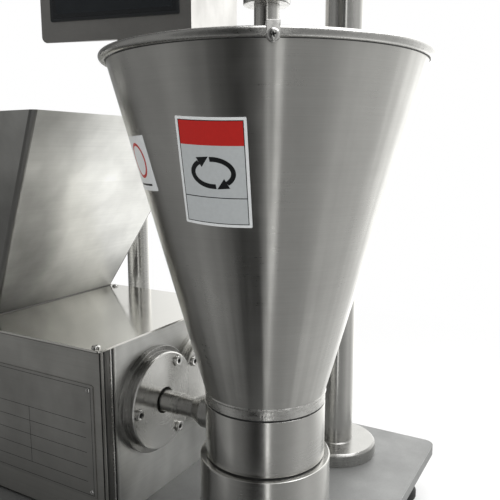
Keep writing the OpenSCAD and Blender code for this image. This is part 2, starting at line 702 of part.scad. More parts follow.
module hopper_crossbar() placed() steel() difference() {
    rotate([0, 0, bar_angle]) union() {
        box([-rim_d / 2 - bar_t, -bar_w / 2, rim_z], [rim_d / 2 + bar_t, bar_w / 2, rim_z + bar_t]);
        for (s = [0, 180]) rotate([0, 0, s]) {
            box([rim_d / 2, -bar_w / 2, rim_z + bar_t - bar_drop],
                [rim_d / 2 + bar_t, bar_w / 2, rim_z + 1]);
            along_x(rim_d / 2, 0, rim_z + bar_t - bar_drop) cylinder(d = bar_w, h = bar_t);
        }
        translate([0, 0, rim_z]) cylinder(r = bush_r + 8, h = bar_t);
    }
    translate([0, 0, rim_z - 1]) cylinder(r = bush_r, h = bar_t + 2);
    for (s = [0, 180]) at_bar_screw(s) translate([0, 0, -6]) cylinder(r = pan_shank_r, h = 7);
}
module filling_pipe() placed() steel()
    along_x(union_mid, 0, pipe_z) tube(pipe_r, pipe_r - pipe_t, -chamber_r - 3 - union_mid);
module pipe_union() placed() steel() difference() {
    along_x(union_x0, 0, pipe_z) rotate_extrude() polygon([[0, 0], [union_r, 0],
        [union_r, union_x1 - union_x0 - 1], [union_r - 1, union_x1 - union_x0], [0, union_x1 - union_x0]]);
    along_x(union_x0 - 1, 0, pipe_z) cylinder(r = tube_r, h = union_mid - union_x0 + 1);
    along_x(union_mid, 0, pipe_z) cylinder(r = pipe_r, h = union_x1 - union_mid + 1);
}
module pipe_collar() placed() steel() difference() {
    union() {
        along_x(collar_x, 0, pipe_z) cylinder(r1 = pipe_r + 0.6, r2 = collar_r, h = 14);
        along_x(collar_x + 13.9, 0, pipe_z) cylinder(r = collar_r, h = 20);
    }
    along_x(collar_x - 1, 0, pipe_z) cylinder(r = pipe_r, h = 60);
    cylinder(r = neck_r, h = 300);
}

// ---- Posts, arm and agitator drive ----
module at_post_bolts() {
    for (a = [90, 210, 330]) translate([rear_post_x, post_y, 0]) rotate([0, 0, a])
        translate([(rear_post_r + post_flange_d / 2) / 2, 0, 0]) children();
    for (a = [90, 210, 330]) translate([front_post_x, post_y, 0]) rotate([0, 0, a])
        translate([(front_post_r + front_flange_r + 8) / 2, 0, 0]) children();
}
module post_bolts() placed() steel() at_post_bolts() {
    translate([0, 0, -plate_t]) cylinder(r = post_bolt_r, h = plate_t + post_bolt_l);
    translate([0, 0, -plate_t - 6]) cylinder(r = 9, h = 6, $fn = 6);
}
module flange(r, bore, h, chamfer) difference() {
    rotate_extrude() polygon([[0, 0], [r, 0], [r, h - chamfer], [r - chamfer, h], [0, h]]);
    translate([0, 0, -1]) cylinder(r = bore, h = h + 2);
}
module post_tube(r, h, socket) difference() {
    cylinder(r = r, h = h);
    translate([0, 0, -1]) cylinder(r = r - post_t, h = h - 3);
}
module rear_post() placed() steel() translate([rear_post_x, post_y, 0])
    post_tube(rear_post_r, arm_z + clamp_h + 4);
module rear_post_flange() placed() steel() difference() {
    translate([rear_post_x, post_y, 0]) flange(post_flange_d / 2, rear_post_r, post_flange_h, 3);
    at_post_bolts() translate([0, 0, -1]) cylinder(r = post_bolt_r, h = post_bolt_l + 1);
}
module front_post() placed() steel() translate([front_post_x, post_y, 0])
    post_tube(front_post_r, socket_top - socket_floor - 1);
module front_post_flange() placed() steel() difference() {
    translate([front_post_x, post_y, 0])
        flange(front_flange_r + 8, front_post_r, front_flange_h, 2);
    at_post_bolts() translate([0, 0, -1]) cylinder(r = post_bolt_r, h = post_bolt_l + 1);
}
module motor_arm() placed() color([0.66, 0.66, 0.64]) difference() {
    union() {
        translate([rear_post_x, post_y, arm_z]) cylinder(r = clamp_r, h = clamp_h);
        box([rear_post_x - arm_w / 2, 0, arm_z], [rear_post_x + arm_w / 2, post_y, arm_z + arm_t]);
        translate([0, 0, arm_z]) cylinder(r = platform_r, h = arm_t);
    }
    translate([rear_post_x, post_y, arm_z - 1]) cylinder(r = rear_post_r, h = clamp_h + 2);
    translate([0, 0, arm_z - 1]) cylinder(r = coupling_r + 2, h = arm_t + 2);
}
module agitator_gearbox() placed() color([0.55, 0.57, 0.58]) difference() {
    union() {
        translate([0, 0, gearbox_z]) cylinder(r = platform_r - 6, h = 8);
        translate([0, 0, gearbox_z + 7]) linear_extrude(gearbox_h - 7) rounded(gearbox_w, gearbox_w, 12);
    }
    translate([0, 0, gearbox_z - 1]) cylinder(r = output_r + run_fit, h = 24);
}
module agitator_motor() placed() color([0.3, 0.34, 0.38]) translate([0, 0, motor_z]) {
    cylinder(r = motor_body_r, h = motor_h);
    for (i = [0:fins - 1]) rotate([0, 0, i * 360 / fins])
        translate([motor_body_r - 2, -1.2, 8]) cube([motor_fin_r - motor_body_r + 2, 2.4, motor_h - 16]);
    translate([0, 0, 0]) cylinder(r = motor_fin_r + 1, h = 6);
    translate([0, 0, motor_h - 6]) cylinder(r = motor_fin_r + 1, h = 6);
    box([-24, -motor_fin_r - 22, 22], [24, -motor_body_r + 4, 66]);
}
module motor_cowl() placed() color([0.2, 0.22, 0.24]) translate([0, 0, motor_z + motor_h])
    rotate_extrude()
        polygon([[0, 0], [cowl_r, 0], [cowl_r, cowl_h - 10], [cowl_r - 10, cowl_h], [0, cowl_h]]);

// ---- Agitator, turning about Z ----
module agitator_shaft() placed() steel() {
    translate([0, 0, shaft_z0]) cylinder(r = shaft_r, h = shaft_z1 - shaft_z0);
    translate([0, 0, pump_base_h - pump_floor_t])
        cylinder(r = journal_r, h = shaft_z0 - pump_base_h + pump_floor_t + 1);
}
function wall_r(z) = neck_r - hopper_t + (z - cone_z0) * cone_slope;
module agitator_blades() placed() steel() for (a = [90, 270]) rotate([0, 0, a]) rotate([90, 0, 0])
    translate([0, 0, -blade_t / 2]) linear_extrude(blade_t) {
        z0 = cone_z0 + 14;
        z1 = cone_z1 - 46;
        polygon([for (p = [[z0, 0], [z1, 0], [z1, 1], [z0, 1]])
            [wall_r(p[0]) - scraper_gap - p[1] * blade_w, p[0]]]);
        for (z = [z0 + 26, z1 - 40])
            translate([shaft_r - 2, z]) square([wall_r(z) - scraper_gap - shaft_r + 2 - blade_w / 2, 20]);
    }
module pump_rotor() placed() steel() translate([0, 0, shaft_z0]) difference() {
    union() {
        cylinder(r = rotor_hub_r, h = neck_h - 6);
        for (i = [0:vanes - 1]) rotate([0, 0, i * 360 / vanes])
            translate([rotor_hub_r - 2, -3, 0]) cube([chamber_r - 1.5 - rotor_hub_r + 2, 6, neck_h - 6]);
    }
    translate([0, 0, -1]) cylinder(r = shaft_r, h = neck_h);
}
module shaft_coupling() placed() color([0.55, 0.55, 0.55]) {
    translate([0, 0, coupling_z]) difference() {
        cylinder(r = coupling_r, h = coupling_h);
        translate([0, 0, -1]) cylinder(r = shaft_r, h = coupling_h / 2 + 1);
    }
    translate([0, 0, coupling_z + coupling_h - 1])
        cylinder(r = output_r, h = gearbox_z + 20 - coupling_z - coupling_h);
}

// ---- Screen box, swivelling on its post ----
module panel() translate([front_post_x, post_y, 0]) rotate([0, 0, panel_turn]) children();
module panel_solid(t) intersection() {
    translate([0, panel_rear - t, panel_z + panel_h / 2]) rotate([90, 0, 0])
        linear_extrude(panel_d - 2 * t) rounded(panel_w - 2 * t, panel_h - 2 * t, panel_r);
    translate([-panel_w / 2, 0, 0]) rotate([90, 0, 90]) linear_extrude(panel_w)
        polygon([[-panel_front, panel_z + t], [panel_rear, panel_z + panel_rise + t],
            [panel_rear, panel_z + panel_h], [-panel_front, panel_z + panel_h]]);
}
module at_panel_face(x, z) translate([x, -panel_front, z]) rotate([90, 0, 0]) children();
module screen_box() placed() color([0.5, 0.48, 0.46]) panel() difference() {
    panel_solid(0);
    panel_solid(panel_t);
    translate([-panel_w / 2 + 12, panel_rear - 10, panel_z + panel_rise + 12])
        cube([panel_w - 24, 20, panel_h - panel_rise - 24]);
    translate([0, 0, socket_z]) cylinder(r = socket_r, h = socket_top - socket_z);
    translate([-screen_w / 2 + screen_lip, -panel_front - 1, screen_z + screen_lip])
        cube([screen_w - 2 * screen_lip, 10, screen_h - 2 * screen_lip]);
    for (x = [start_x, stop_x]) at_panel_face(x, button_z) cylinder(r = button_r + 1, h = 20, center = true);
    at_panel_face(estop_x, button_z) cylinder(r = estop_stem_r + 3, h = 20, center = true);
}
module screen_box_back() placed() color([0.5, 0.48, 0.46]) panel() difference() {
    translate([-panel_w / 2 + 12.2, panel_rear - panel_t, panel_z + panel_rise + 12.2])
        cube([panel_w - 24.4, panel_t, panel_h - panel_rise - 24.4]);
    for (i = [0:7]) translate([-28 + i * 8, panel_rear - 10, panel_z + panel_h - 70]) cube([3, 20, 34]);
}
module swivel_socket() placed() steel() panel() translate([0, 0, socket_z]) difference() {
    cylinder(r = socket_r, h = socket_top - socket_z);
    translate([0, 0, -1]) cylinder(r = front_post_r + run_fit, h = socket_top - socket_z - socket_floor + 1);
}
module screen_frame() placed() color([0.06, 0.07, 0.08]) panel() {
    at_panel_face(0, screen_z + screen_h / 2) linear_extrude(screen_proud) rounded(screen_w, screen_h, 3);
    translate([-screen_w / 2 + screen_lip, -panel_front - 1, screen_z + screen_lip])
        cube([screen_w - 2 * screen_lip, screen_deep, screen_h - 2 * screen_lip]);
}
module button_bezels() placed() color([0.75, 0.75, 0.73]) panel() {
    for (x = [start_x, stop_x]) at_panel_face(x, button_z) {
        tube(bezel_r, button_r + run_fit, bezel_h);
        translate([0, 0, -24]) tube(button_r + 1, button_r + run_fit, 25);
    }
    at_panel_face(estop_x, button_z) {
        tube(bezel_r + 5, estop_stem_r + run_fit, 2);
        translate([0, 0, -24]) tube(estop_stem_r + 3, estop_stem_r + run_fit, 25);
    }
}
module push_button(x)
    at_panel_face(x, button_z) translate([0, 0, -18]) cylinder(r = button_r, h = 18 + bezel_h + 3.5);
module start_button() placed() color([0.1, 0.5, 0.2]) panel() push_button(start_x);
module stop_button() placed() color([0.7, 0.08, 0.06]) panel() push_button(stop_x);
module emergency_stop() placed() color([0.75, 0.05, 0.04]) panel() at_panel_face(estop_x, button_z) {
    translate([0, 0, -16]) cylinder(r = estop_stem_r, h = 16 + estop_travel + 4);
    translate([0, 0, estop_travel + 3]) rotate_extrude() intersection() {
        translate([0, -14]) circle(28);
        square([estop_r, 15]);
    }
}

base_plate();
foot_pads();
foot_studs();
drive_housing();
front_cover();
housing_lid();
rating_plate();
rating_plate_rivets();
pan_screws();
cap_screws();
main_bearing_cap();
second_bearing_cap();
right_gear_plate();
left_gear_plate();
screw_bearings();
screw_barrel();
feed_throat();
outlet_block();
outlet_nozzle();
inner_tube();
drive_gearmotor();
feed_hopper();
cable_gland();
pump_base();
pump_neck();
neck_seals();
shaft_bushes();
hopper();
hopper_crossbar();
filling_pipe();
pipe_union();
pipe_collar();
rear_post();
rear_post_flange();
motor_arm();
agitator_gearbox();
agitator_motor();
motor_cowl();
front_post();
front_post_flange();
post_bolts();
agitator_shaft();
agitator_blades();
pump_rotor();
shaft_coupling();
main_screw_shaft();
main_screw_flight();
main_screw_gear();
second_screw_shaft();
second_screw_flight();
second_screw_gear();
motor_pinion();
screen_box();
screen_box_back();
swivel_socket();
screen_frame();
button_bezels();
start_button();
stop_button();
emergency_stop();
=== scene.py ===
"""Looks of a hopper-fed filling machine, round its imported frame. Metres, Z up, X along the drive box."""
import json
import math

import bmesh
import bpy
from mathutils import Matrix, Vector

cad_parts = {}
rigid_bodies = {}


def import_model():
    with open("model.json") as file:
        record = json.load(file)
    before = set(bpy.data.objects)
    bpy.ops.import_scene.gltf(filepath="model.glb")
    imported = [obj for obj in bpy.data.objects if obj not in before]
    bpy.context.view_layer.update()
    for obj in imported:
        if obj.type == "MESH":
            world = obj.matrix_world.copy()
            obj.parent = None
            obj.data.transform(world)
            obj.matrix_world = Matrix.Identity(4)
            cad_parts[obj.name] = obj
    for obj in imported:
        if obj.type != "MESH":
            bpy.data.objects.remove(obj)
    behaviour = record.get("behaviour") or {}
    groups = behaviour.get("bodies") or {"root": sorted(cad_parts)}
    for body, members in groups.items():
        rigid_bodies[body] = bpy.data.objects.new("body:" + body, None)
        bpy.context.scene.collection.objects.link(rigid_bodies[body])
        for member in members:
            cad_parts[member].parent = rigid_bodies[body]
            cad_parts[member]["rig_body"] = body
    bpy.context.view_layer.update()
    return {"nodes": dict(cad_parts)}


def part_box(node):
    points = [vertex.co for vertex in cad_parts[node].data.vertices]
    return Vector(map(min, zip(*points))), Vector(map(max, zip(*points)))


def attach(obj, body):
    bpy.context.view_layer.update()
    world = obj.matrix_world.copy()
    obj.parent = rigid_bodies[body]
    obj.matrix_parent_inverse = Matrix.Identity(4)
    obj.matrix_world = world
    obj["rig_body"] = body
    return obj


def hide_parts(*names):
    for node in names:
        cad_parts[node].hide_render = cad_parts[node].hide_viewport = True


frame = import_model()
NODES = frame["nodes"]
MM = 0.001
X, Y, Z = Vector((1, 0, 0)), Vector((0, 1, 0)), Vector((0, 0, 1))


def low(node):
    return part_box(node)[0]


def high(node):
    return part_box(node)[1]


def centre(node):
    a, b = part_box(node)
    return (a + b) / 2


def size(node):
    a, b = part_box(node)
    return b - a


def foot_of(node):
    """The point of the floor under a node's middle."""
    mid = centre(node)
    return Vector((mid.x, mid.y, 0))


PLATE_TOP = high("base_plate").z
HOPPER = Vector((centre("hopper").x, centre("hopper").y, PLATE_TOP))
PIPE = centre("filling_pipe")
SQUARE = ((-1, -1), (1, -1), (1, 1), (-1, 1))


# ---------------------------------------------------------------- camera, light, floor
EYE = HOPPER + Vector((309.5, -574.7, 436.0)) * MM
EYE_TURN, EYE_DIP = math.radians(29.8), math.radians(9.1)
FOCAL, SENSOR = 43.76, 36.0
FLOOR = 12


def make_camera():
    cam = bpy.data.objects.new("camera", bpy.data.cameras.new("camera"))
    cam.data.lens, cam.data.sensor_width = FOCAL, SENSOR
    cam.data.clip_start, cam.data.clip_end = 0.02, 60
    cam.location = EYE
    cam.rotation_euler = (math.pi / 2 - EYE_DIP, 0, EYE_TURN)
    bpy.context.scene.collection.objects.link(cam)
    bpy.context.scene.camera = cam


# Brightness of the studio round the machine: degrees to the right of the camera's side, and light
STUDIO = [(-180, 0.75), (-165, 0.4), (-150, 0.12), (-138, 0.06), (-126, 0.062), (-114, 0.14), (-102, 0.20),
          (-80, 0.28), (-70, 0.31), (-60, 0.19), (-45, 0.14), (-30, 0.063), (-22, 0.028), (-15, 0.03),
          (-9, 0.05), (-4, 0.09), (0, 0.32), (2.5, 2.0), (4.5, 1.4), (7.5, 0.34), (12, 0.29), (30, 0.30),
          (50, 0.40), (72, 0.58), (86, 0.55), (102, 0.56), (120, 0.69), (140, 0.93), (153, 1.1), (166, 1.12),
          (180, 0.78)]

# How much lighter the far side is at each height, from straight down (0) to straight up (1)
HEIGHTS = [(0.0, 0.75), (0.1, 0.75), (0.2, 0.03), (0.29, 0.03), (0.35, 0.8), (1.0, 0.75)]


def make_studio():
    """A room that is dark to the left of the camera and light to the right and behind the machine."""
    world = bpy.data.worlds.new("studio")
    world.use_nodes = True
    bpy.context.scene.world = world
    room = Nodes(world.node_tree)
    light = room.tree.nodes["Background"]
    where = room.add("ShaderNodeTexCoord").outputs["Generated"]
    right = room.vector("DOT_PRODUCT", where, (math.cos(EYE_TURN), math.sin(EYE_TURN), 0))
    near = room.vector("DOT_PRODUCT", where, (math.sin(EYE_TURN), -math.cos(EYE_TURN), 0))
    turn = room.remap(room.math("ARCTAN2", right, near), -math.pi, math.pi, 0, 1)
    ramp = room.add("ShaderNodeValToRGB", ins={0: turn})
    brightest = max(level for _, level in STUDIO)
    stops = ramp.color_ramp.elements
    while len(stops) < len(STUDIO):
        stops.new(0.5)
    for stop, (angle, level) in zip(stops, STUDIO):
        stop.position = (angle + 180) / 360
        grey = level / brightest
        stop.color = (grey, grey, grey * 0.98, 1)
    rise = room.remap(room.vector("DOT_PRODUCT", where, Z), -1, 1, 0, 1)
    height = room.add("ShaderNodeFloatCurve", ins={"Value": rise})
    curve = height.mapping.curves[0].points
    for stop, place in zip(curve, (HEIGHTS[0], HEIGHTS[-1])):
        stop.location = place
    for at, level in HEIGHTS[1:-1]:
        curve.new(at, level)
    for stop in curve:
        stop.handle_type = "VECTOR"
    height.mapping.update()
    extra = room.remap(height.outputs[0], 0, 1, 0, brightest)
    far = room.remap(near, 0.0, -0.5, 0, 1)
    strength = room.add("ShaderNodeMath", operation="MULTIPLY_ADD", ins={0: extra, 1: far, 2: brightest})
    paper = room.add("ShaderNodeBackground", ins={"Color": (1, 1, 1, 1), "Strength": 1.0})
    seen = room.add("ShaderNodeLightPath").outputs["Is Camera Ray"]
    mix = room.add("ShaderNodeMixShader", ins={0: seen, 1: light.outputs[0], 2: paper.outputs[0]})
    for output, socket in ((ramp, light.inputs["Color"]), (strength, light.inputs["Strength"]),
                           (mix, room.tree.nodes["World Output"].inputs["Surface"])):
        room.tree.links.new(output.outputs[0], socket)


def softbox(name, offset, aim, wide, power, glossy=True):
    """A square lamp beside the hopper, aimed at a height on its axis."""
    lamp = bpy.data.lights.new(name, "AREA")
    lamp.size, lamp.energy = wide, power
    obj = bpy.data.objects.new(name, lamp)
    obj.location = HOPPER + Vector(offset)
    obj.rotation_euler = (Vector(offset) - Z * aim).to_track_quat("Z", "Y").to_euler()
    obj.visible_camera, obj.visible_glossy = False, glossy
    bpy.context.scene.collection.objects.link(obj)


def make_floor():
    mesh = bpy.data.meshes.new("floor")
    mesh.from_pydata([(x * FLOOR, y * FLOOR, 0) for x, y in SQUARE], [], [(0, 1, 2, 3)])
    floor = bpy.data.objects.new("floor", mesh)
    bpy.context.scene.collection.objects.link(floor)
    paper = Finish("floor_paper", (0.93, 0.93, 0.93), 0.7, 0)
    far = paper.remap(paper.vector("LENGTH", paper.place), 0.35, 1.25, 0.45, 1)
    glow = paper.add("ShaderNodeEmission", ins={"Strength": 1.0})
    mix = paper.add("ShaderNodeMixShader", ins={0: far, 1: paper.shader.outputs[0], 2: glow.outputs[0]})
    paper.tree.links.new(mix.outputs[0], paper.tree.nodes["Material Output"].inputs["Surface"])
    mesh.materials.append(paper.mat)
    floor.visible_glossy = False


# ---------------------------------------------------------------- materials
SURFACE = {}
NOISE = (0.3, 0.7)
CAP_STEP = 60.8 * MM


class Nodes:
    """Short calls that add nodes to a tree and link their inputs."""

    def __init__(self, tree):
        self.tree = tree

    def add(self, kind, ins=None, **settings):
        node = self.tree.nodes.new(kind)
        for key, value in settings.items():
            setattr(node, key, value)
        for key, value in (ins or {}).items():
            if isinstance(value, bpy.types.NodeSocket):
                self.tree.links.new(value, node.inputs[key])
            else:
                node.inputs[key].default_value = value
        return node

    def math(self, what, a, b=0.0):
        return self.add("ShaderNodeMath", operation=what, ins={0: a, 1: b}).outputs[0]

    def vector(self, what, a, b=(0, 0, 0)):
        node = self.add("ShaderNodeVectorMath", operation=what, ins={0: a, 1: b})
        return node.outputs["Value" if what in ("DOT_PRODUCT", "LENGTH") else "Vector"]

    def remap(self, value, a, b, to_a, to_b):
        ins = {"Value": value, "From Min": a, "From Max": b, "To Min": to_a, "To Max": to_b}
        return self.add("ShaderNodeMapRange", ins=ins).outputs[0]


class Finish(Nodes):
    """One material: its shader's own values, and short calls for the nodes that vary them."""

    def __init__(self, name, color, roughness, metallic=1.0, **values):
        self.mat = bpy.data.materials.new(name)
        self.mat.use_nodes = True
        super().__init__(self.mat.node_tree)
        SURFACE[name] = self.mat
        self.shader = self.tree.nodes["Principled BSDF"]
        self.place = self.tree.nodes.new("ShaderNodeTexCoord").outputs["Object"]
        self.color, self.roughness, self.relief = color, roughness, None
        self.shader.inputs["Base Color"].default_value = (*color, 1)
        self.shader.inputs["Roughness"].default_value = roughness
        self.shader.inputs["Metallic"].default_value = metallic
        for key, value in values.items():
            self.shader.inputs[key.replace("_", " ")].default_value = value

    def noise(self, where, stretch, detail=2.0, coarse=0.55):
        """Noise whose grains are 1 / stretch metres along each axis."""
        ins = {"Vector": self.vector("MULTIPLY", where, stretch), "Scale": 1.0, "Detail": detail,
               "Roughness": coarse}
        return self.add("ShaderNodeTexNoise", ins=ins).outputs["Fac"]

    def distance(self, u, v):
        return self.math("SQRT", self.math("ADD", self.math("MULTIPLY", u, u), self.math("MULTIPLY", v, v)))

    def round_about(self, axis, middle):
        """Position as (arc angle, distance from the axis, distance along it) about a line through middle."""
        out = self.vector("SUBTRACT", self.place, middle)
        side = X if abs(axis.z) > 0.5 else Z
        a = self.vector("DOT_PRODUCT", out, side)
        b = self.vector("DOT_PRODUCT", out, axis.cross(side))
        along = self.vector("DOT_PRODUCT", out, axis)
        angle = self.math("ARCTAN2", b, a)
        both = self.add("ShaderNodeCombineXYZ", ins={0: angle, 1: self.distance(a, b), 2: along})
        return both.outputs[0], self.vector("CROSS_PRODUCT", out, axis)

    def tint(self, fac, dark, light):
        """Multiplies the colour by dark to light as fac goes over the usual span of a noise."""
        old = self.shader.inputs["Base Color"]
        before = old.links[0].from_socket if old.links else None
        mult = self.remap(fac, *NOISE, dark, light)
        whole = self.add("ShaderNodeCombineXYZ", ins={0: mult, 1: mult, 2: mult}).outputs[0]
        out = self.vector("MULTIPLY", before or Vector(self.color), whole)
        self.tree.links.new(out, old)

    def rough(self, fac, a, b):
        old = self.shader.inputs["Roughness"]
        value = self.remap(fac, *NOISE, a, b)
        if old.links:
            value = self.math("ADD", old.links[0].from_socket, self.math("SUBTRACT", value, self.roughness))
        self.tree.links.new(value, old)

    def bump(self, height, depth, strength=1.0):
        ins = {"Height": height, "Distance": depth, "Strength": strength}
        if self.relief:
            ins["Normal"] = self.relief
        self.relief = self.add("ShaderNodeBump", ins=ins).outputs[0]
        self.tree.links.new(self.relief, self.shader.inputs["Normal"])

    def spread(self, along):
        """Scratches run along a direction, so the gloss spreads across it."""
        self.shader.inputs["Anisotropic Rotation"].default_value = 0.25
        if isinstance(along, bpy.types.NodeSocket):
            self.tree.links.new(along, self.shader.inputs["Tangent"])
        else:
            fixed = self.add("ShaderNodeCombineXYZ", ins=dict(enumerate(along)))
            self.tree.links.new(fixed.outputs[0], self.shader.inputs["Tangent"])

    def handled(self, amount=1.0):
        """Cloudy patches and smears from wiping, at the scale of a hand."""
        cloud = self.noise(self.place, (14, 14, 14), 4, 0.6)
        self.tint(cloud, 1 - 0.10 * amount, 1 + 0.05 * amount)
        self.rough(cloud, self.roughness + 0.06 * amount, self.roughness - 0.04 * amount)
        smear = self.noise(self.place, (60, 60, 25), 5, 0.65)
        self.rough(smear, self.roughness - 0.03 * amount, self.roughness + 0.05 * amount)


def brushed_sheet(name, color, roughness, along, grain=1.0):
    """Stainless sheet with fine straight scratches along one axis."""
    f = Finish(name, color, roughness, Anisotropic=0.7)
    f.handled()
    stretch = [9.0 if abs(a) > 0.5 else 1500.0 for a in along]
    fine = f.noise(f.place, stretch, 3)
    broad = f.noise(f.place, [s / 5 for s in stretch], 2)
    f.tint(fine, 1 - 0.06 * grain, 1 + 0.035 * grain)
    f.tint(broad, 1 - 0.025 * grain, 1 + 0.02 * grain)
    f.rough(fine, roughness - 0.03, roughness + 0.05)
    f.bump(f.noise(f.place, (9, 9, 9), 1), 0.0008)
    f.bump(fine, 0.000003 * grain, 0.6)
    f.spread(along)
    return f


def turned_steel(name, color, roughness, axis, middle, grain=1.0, worn=0.7):
    """Steel with scratches running round an axis, as a lathe or a polishing belt leaves them."""
    f = Finish(name, color, roughness, Anisotropic=0.75)
    f.handled(worn)
    polar, tangent = f.round_about(axis, middle)
    rings = f.noise(polar, (1.2, 1400, 1400), 3)
    f.tint(rings, 1 - 0.03 * grain, 1 + 0.02 * grain)
    f.rough(rings, roughness - 0.02, roughness + 0.03)
    f.bump(rings, 0.0000007 * grain, 0.7)
    f.spread(tangent)
    return f


def spun_cone_steel():
    """The cone: belt-polished round its axis, rolled with long soft flats and a few small dings."""
    f = Finish("cone_steel", (0.60, 0.595, 0.575), 0.30, Anisotropic=0.78)
    f.handled(0.8)
    polar, tangent = f.round_about(Z, HOPPER)
    rings = f.noise(polar, (1.6, 500, 1500), 3)
    broad = f.noise(polar, (1.0, 150, 260), 2)
    f.tint(rings, 0.96, 1.025)
    f.tint(broad, 0.985, 1.01)
    f.rough(rings, 0.27, 0.33)
    flats = f.noise(polar, (5.5, 2.0, 2.0), 1.5, 0.4)
    f.bump(flats, 0.0013)
    dings = f.add("ShaderNodeTexVoronoi", ins={"Vector": f.place, "Scale": 16.0}, feature="F1")
    few = f.remap(f.vector("DOT_PRODUCT", dings.outputs["Color"], (1, 0, 0)), 0.86, 0.88, 0, 1)
    dent = f.remap(dings.outputs["Distance"], 0.0, 0.05, 1.0, 0.0)
    f.bump(f.math("MULTIPLY", dent, few), -0.0005, 0.8)
    f.bump(rings, 0.000002, 0.7)
    f.spread(tangent)


def rolled_rim_steel():
    """The rolled rim: bright, and never quite even."""
    f = Finish("rim_steel", (0.58, 0.575, 0.56), 0.24, Anisotropic=0.4)
    f.handled(0.8)
    polar, tangent = f.round_about(Z, HOPPER)
    f.bump(f.noise(polar, (14, 60, 60), 2), 0.0004, 0.8)
    marks = f.noise(polar, (30, 500, 500), 3)
    f.tint(marks, 0.93, 1.03)
    f.rough(marks, 0.21, 0.30)
    f.spread(tangent)


def belt_polished_band():
    """The weld and the band under the cone: ground by hand, lighter and patchy."""
    f = Finish("band_steel", (0.70, 0.695, 0.675), 0.27, Anisotropic=0.5)
    polar, tangent = f.round_about(Z, HOPPER)
    patch = f.noise(polar, (9, 260, 420), 4, 0.6)
    f.tint(patch, 0.80, 1.06)
    f.rough(patch, 0.18, 0.38)
    f.bump(patch, 0.00016, 0.8)
    f.bump(f.noise(polar, (26, 60, 160), 2), 0.0003, 0.7)
    f.spread(tangent)


# Painted reflections as dark and light spots on the sheet, from the hopper's front lower corner: along, up,
# half width, half height, lean, shade
PAINTED_REFLECTION_SPOTS = [(0.075, 0.119, 0.045, 0.078, 0.36, 0.56),
        (0.145, 0.175, 0.036, 0.030, 0.0, 1.28),
        (0.050, 0.247, 0.045, 0.035, 0.0, 0.82)]


def feed_sheet_painted_reflections():
    """The feed hopper's sheet: a hazy polish, with painted reflections: darker towards its front lower
    corner, and in three spots.
    """
    f = brushed_sheet("feed_steel", (0.67, 0.67, 0.65), 0.36, Y, 0.8)
    lo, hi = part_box("feed_hopper")
    # Painted reflection: the sheet darkens towards its front lower corner and lightens towards the back and
    # top.
    ahead = f.vector("DOT_PRODUCT", f.vector("SUBTRACT", f.place, lo), Vector((0, 2.4, 2.6)))
    painted_reflection_ramp = f.math("ADD", ahead, f.math("MULTIPLY", f.noise(f.place, (11, 11, 11), 3), 0.5))
    f.tint(f.remap(painted_reflection_ramp, 0.4, 1.35, *NOISE), 0.37, 1.5)
    stray = f.math("MULTIPLY", f.noise(f.place, (17, 17, 17), 2), 0.5)
    # Painted reflections: three spots on the sheet made darker or lighter.
    for ahead_of, above, wide, tall, lean, shade in PAINTED_REFLECTION_SPOTS:
        at = f.vector("SUBTRACT", f.place, (0, lo.y + ahead_of, lo.z + above))
        u = f.vector("DOT_PRODUCT", at, (0, 1 / wide, lean / wide))
        v = f.vector("DOT_PRODUCT", at, (0, 0, 1 / tall))
        f.tint(f.remap(f.math("ADD", f.distance(u, v), stray), 0.7, 1.6, *NOISE), shade, 1.0)
    haze = f.noise(f.place, (6, 9, 16), 3, 0.6)
    f.tint(haze, 0.93, 1.06)


def box_steel_painted_reflections():
    """The drive box: brushed, with broad soft light and dark patches painted in as soft reflections."""
    f = brushed_sheet("box_steel", (0.70, 0.70, 0.685), 0.35, Y)
    # Painted reflections: broad soft patches, lighter and darker.
    painted_reflection_clouds = f.noise(f.place, (15, 15, 11), 2, 0.5)
    f.tint(painted_reflection_clouds, 0.72, 1.22)


def cap_steel_painted_rim_shade(color):
    """The bearing cap: fine turned face, with its outer step painted darker as a dark reflection."""
    f = turned_steel("cap_steel", color, 0.23, X, (0, HOPPER.y, PIPE.z), 0.7)
    out = f.vector("MULTIPLY", f.vector("SUBTRACT", f.place, (0, HOPPER.y, PIPE.z)), (0, 1, 1))
    # Painted reflection: the outer step is darkened, as a dark reflection.
    step = f.remap(f.vector("LENGTH", out), CAP_STEP - 0.4 * MM, CAP_STEP + 0.4 * MM, *reversed(NOISE))
    f.tint(step, 0.5, 1.0)


def mirror_lid_steel():
    f = Finish("lid_steel", (0.73, 0.722, 0.69), 0.09, Anisotropic=0.35)
    cloud = f.noise(f.place, (22, 22, 22), 4, 0.6)
    f.rough(cloud, 0.06, 0.16)
    fine = f.noise(f.place, (1300, 12, 1300), 3)
    f.tint(fine, 0.95, 1.03)
    f.rough(fine, 0.07, 0.12)
    f.bump(f.noise(f.place, (7, 7, 7), 1), 0.0009)
    f.spread(Y)


def satin_plate():
    """The base plate: thick blasted steel plate, matt, with faint cloudy marks."""
    f = Finish("plate_grey", (0.275, 0.278, 0.276), 0.45, 0.4)
    f.handled(1.2)
    pits = f.noise(f.place, (900, 900, 900), 3)
    f.tint(pits, 0.93, 1.05)
    f.bump(pits, 0.00003, 0.6)


def enamel(name, color):
    """Sprayed enamel with orange peel and a little dust in the clear areas."""
    f = Finish(name, color, 0.36, 0, Coat_Weight=0.25, Coat_Roughness=0.2)
    f.handled(0.8)
    f.bump(f.noise(f.place, (420, 420, 420), 2), 0.00007, 0.7)


def moulded(name, color, roughness=0.42, texture=1.0, **values):
    """Moulded plastic or rubber with a fine spark-eroded texture."""
    f = Finish(name, color, roughness, 0, **values)
    f.handled(0.7)
    f.bump(f.noise(f.place, (1500, 1500, 1500), 2), 0.00005 * texture, 0.8)


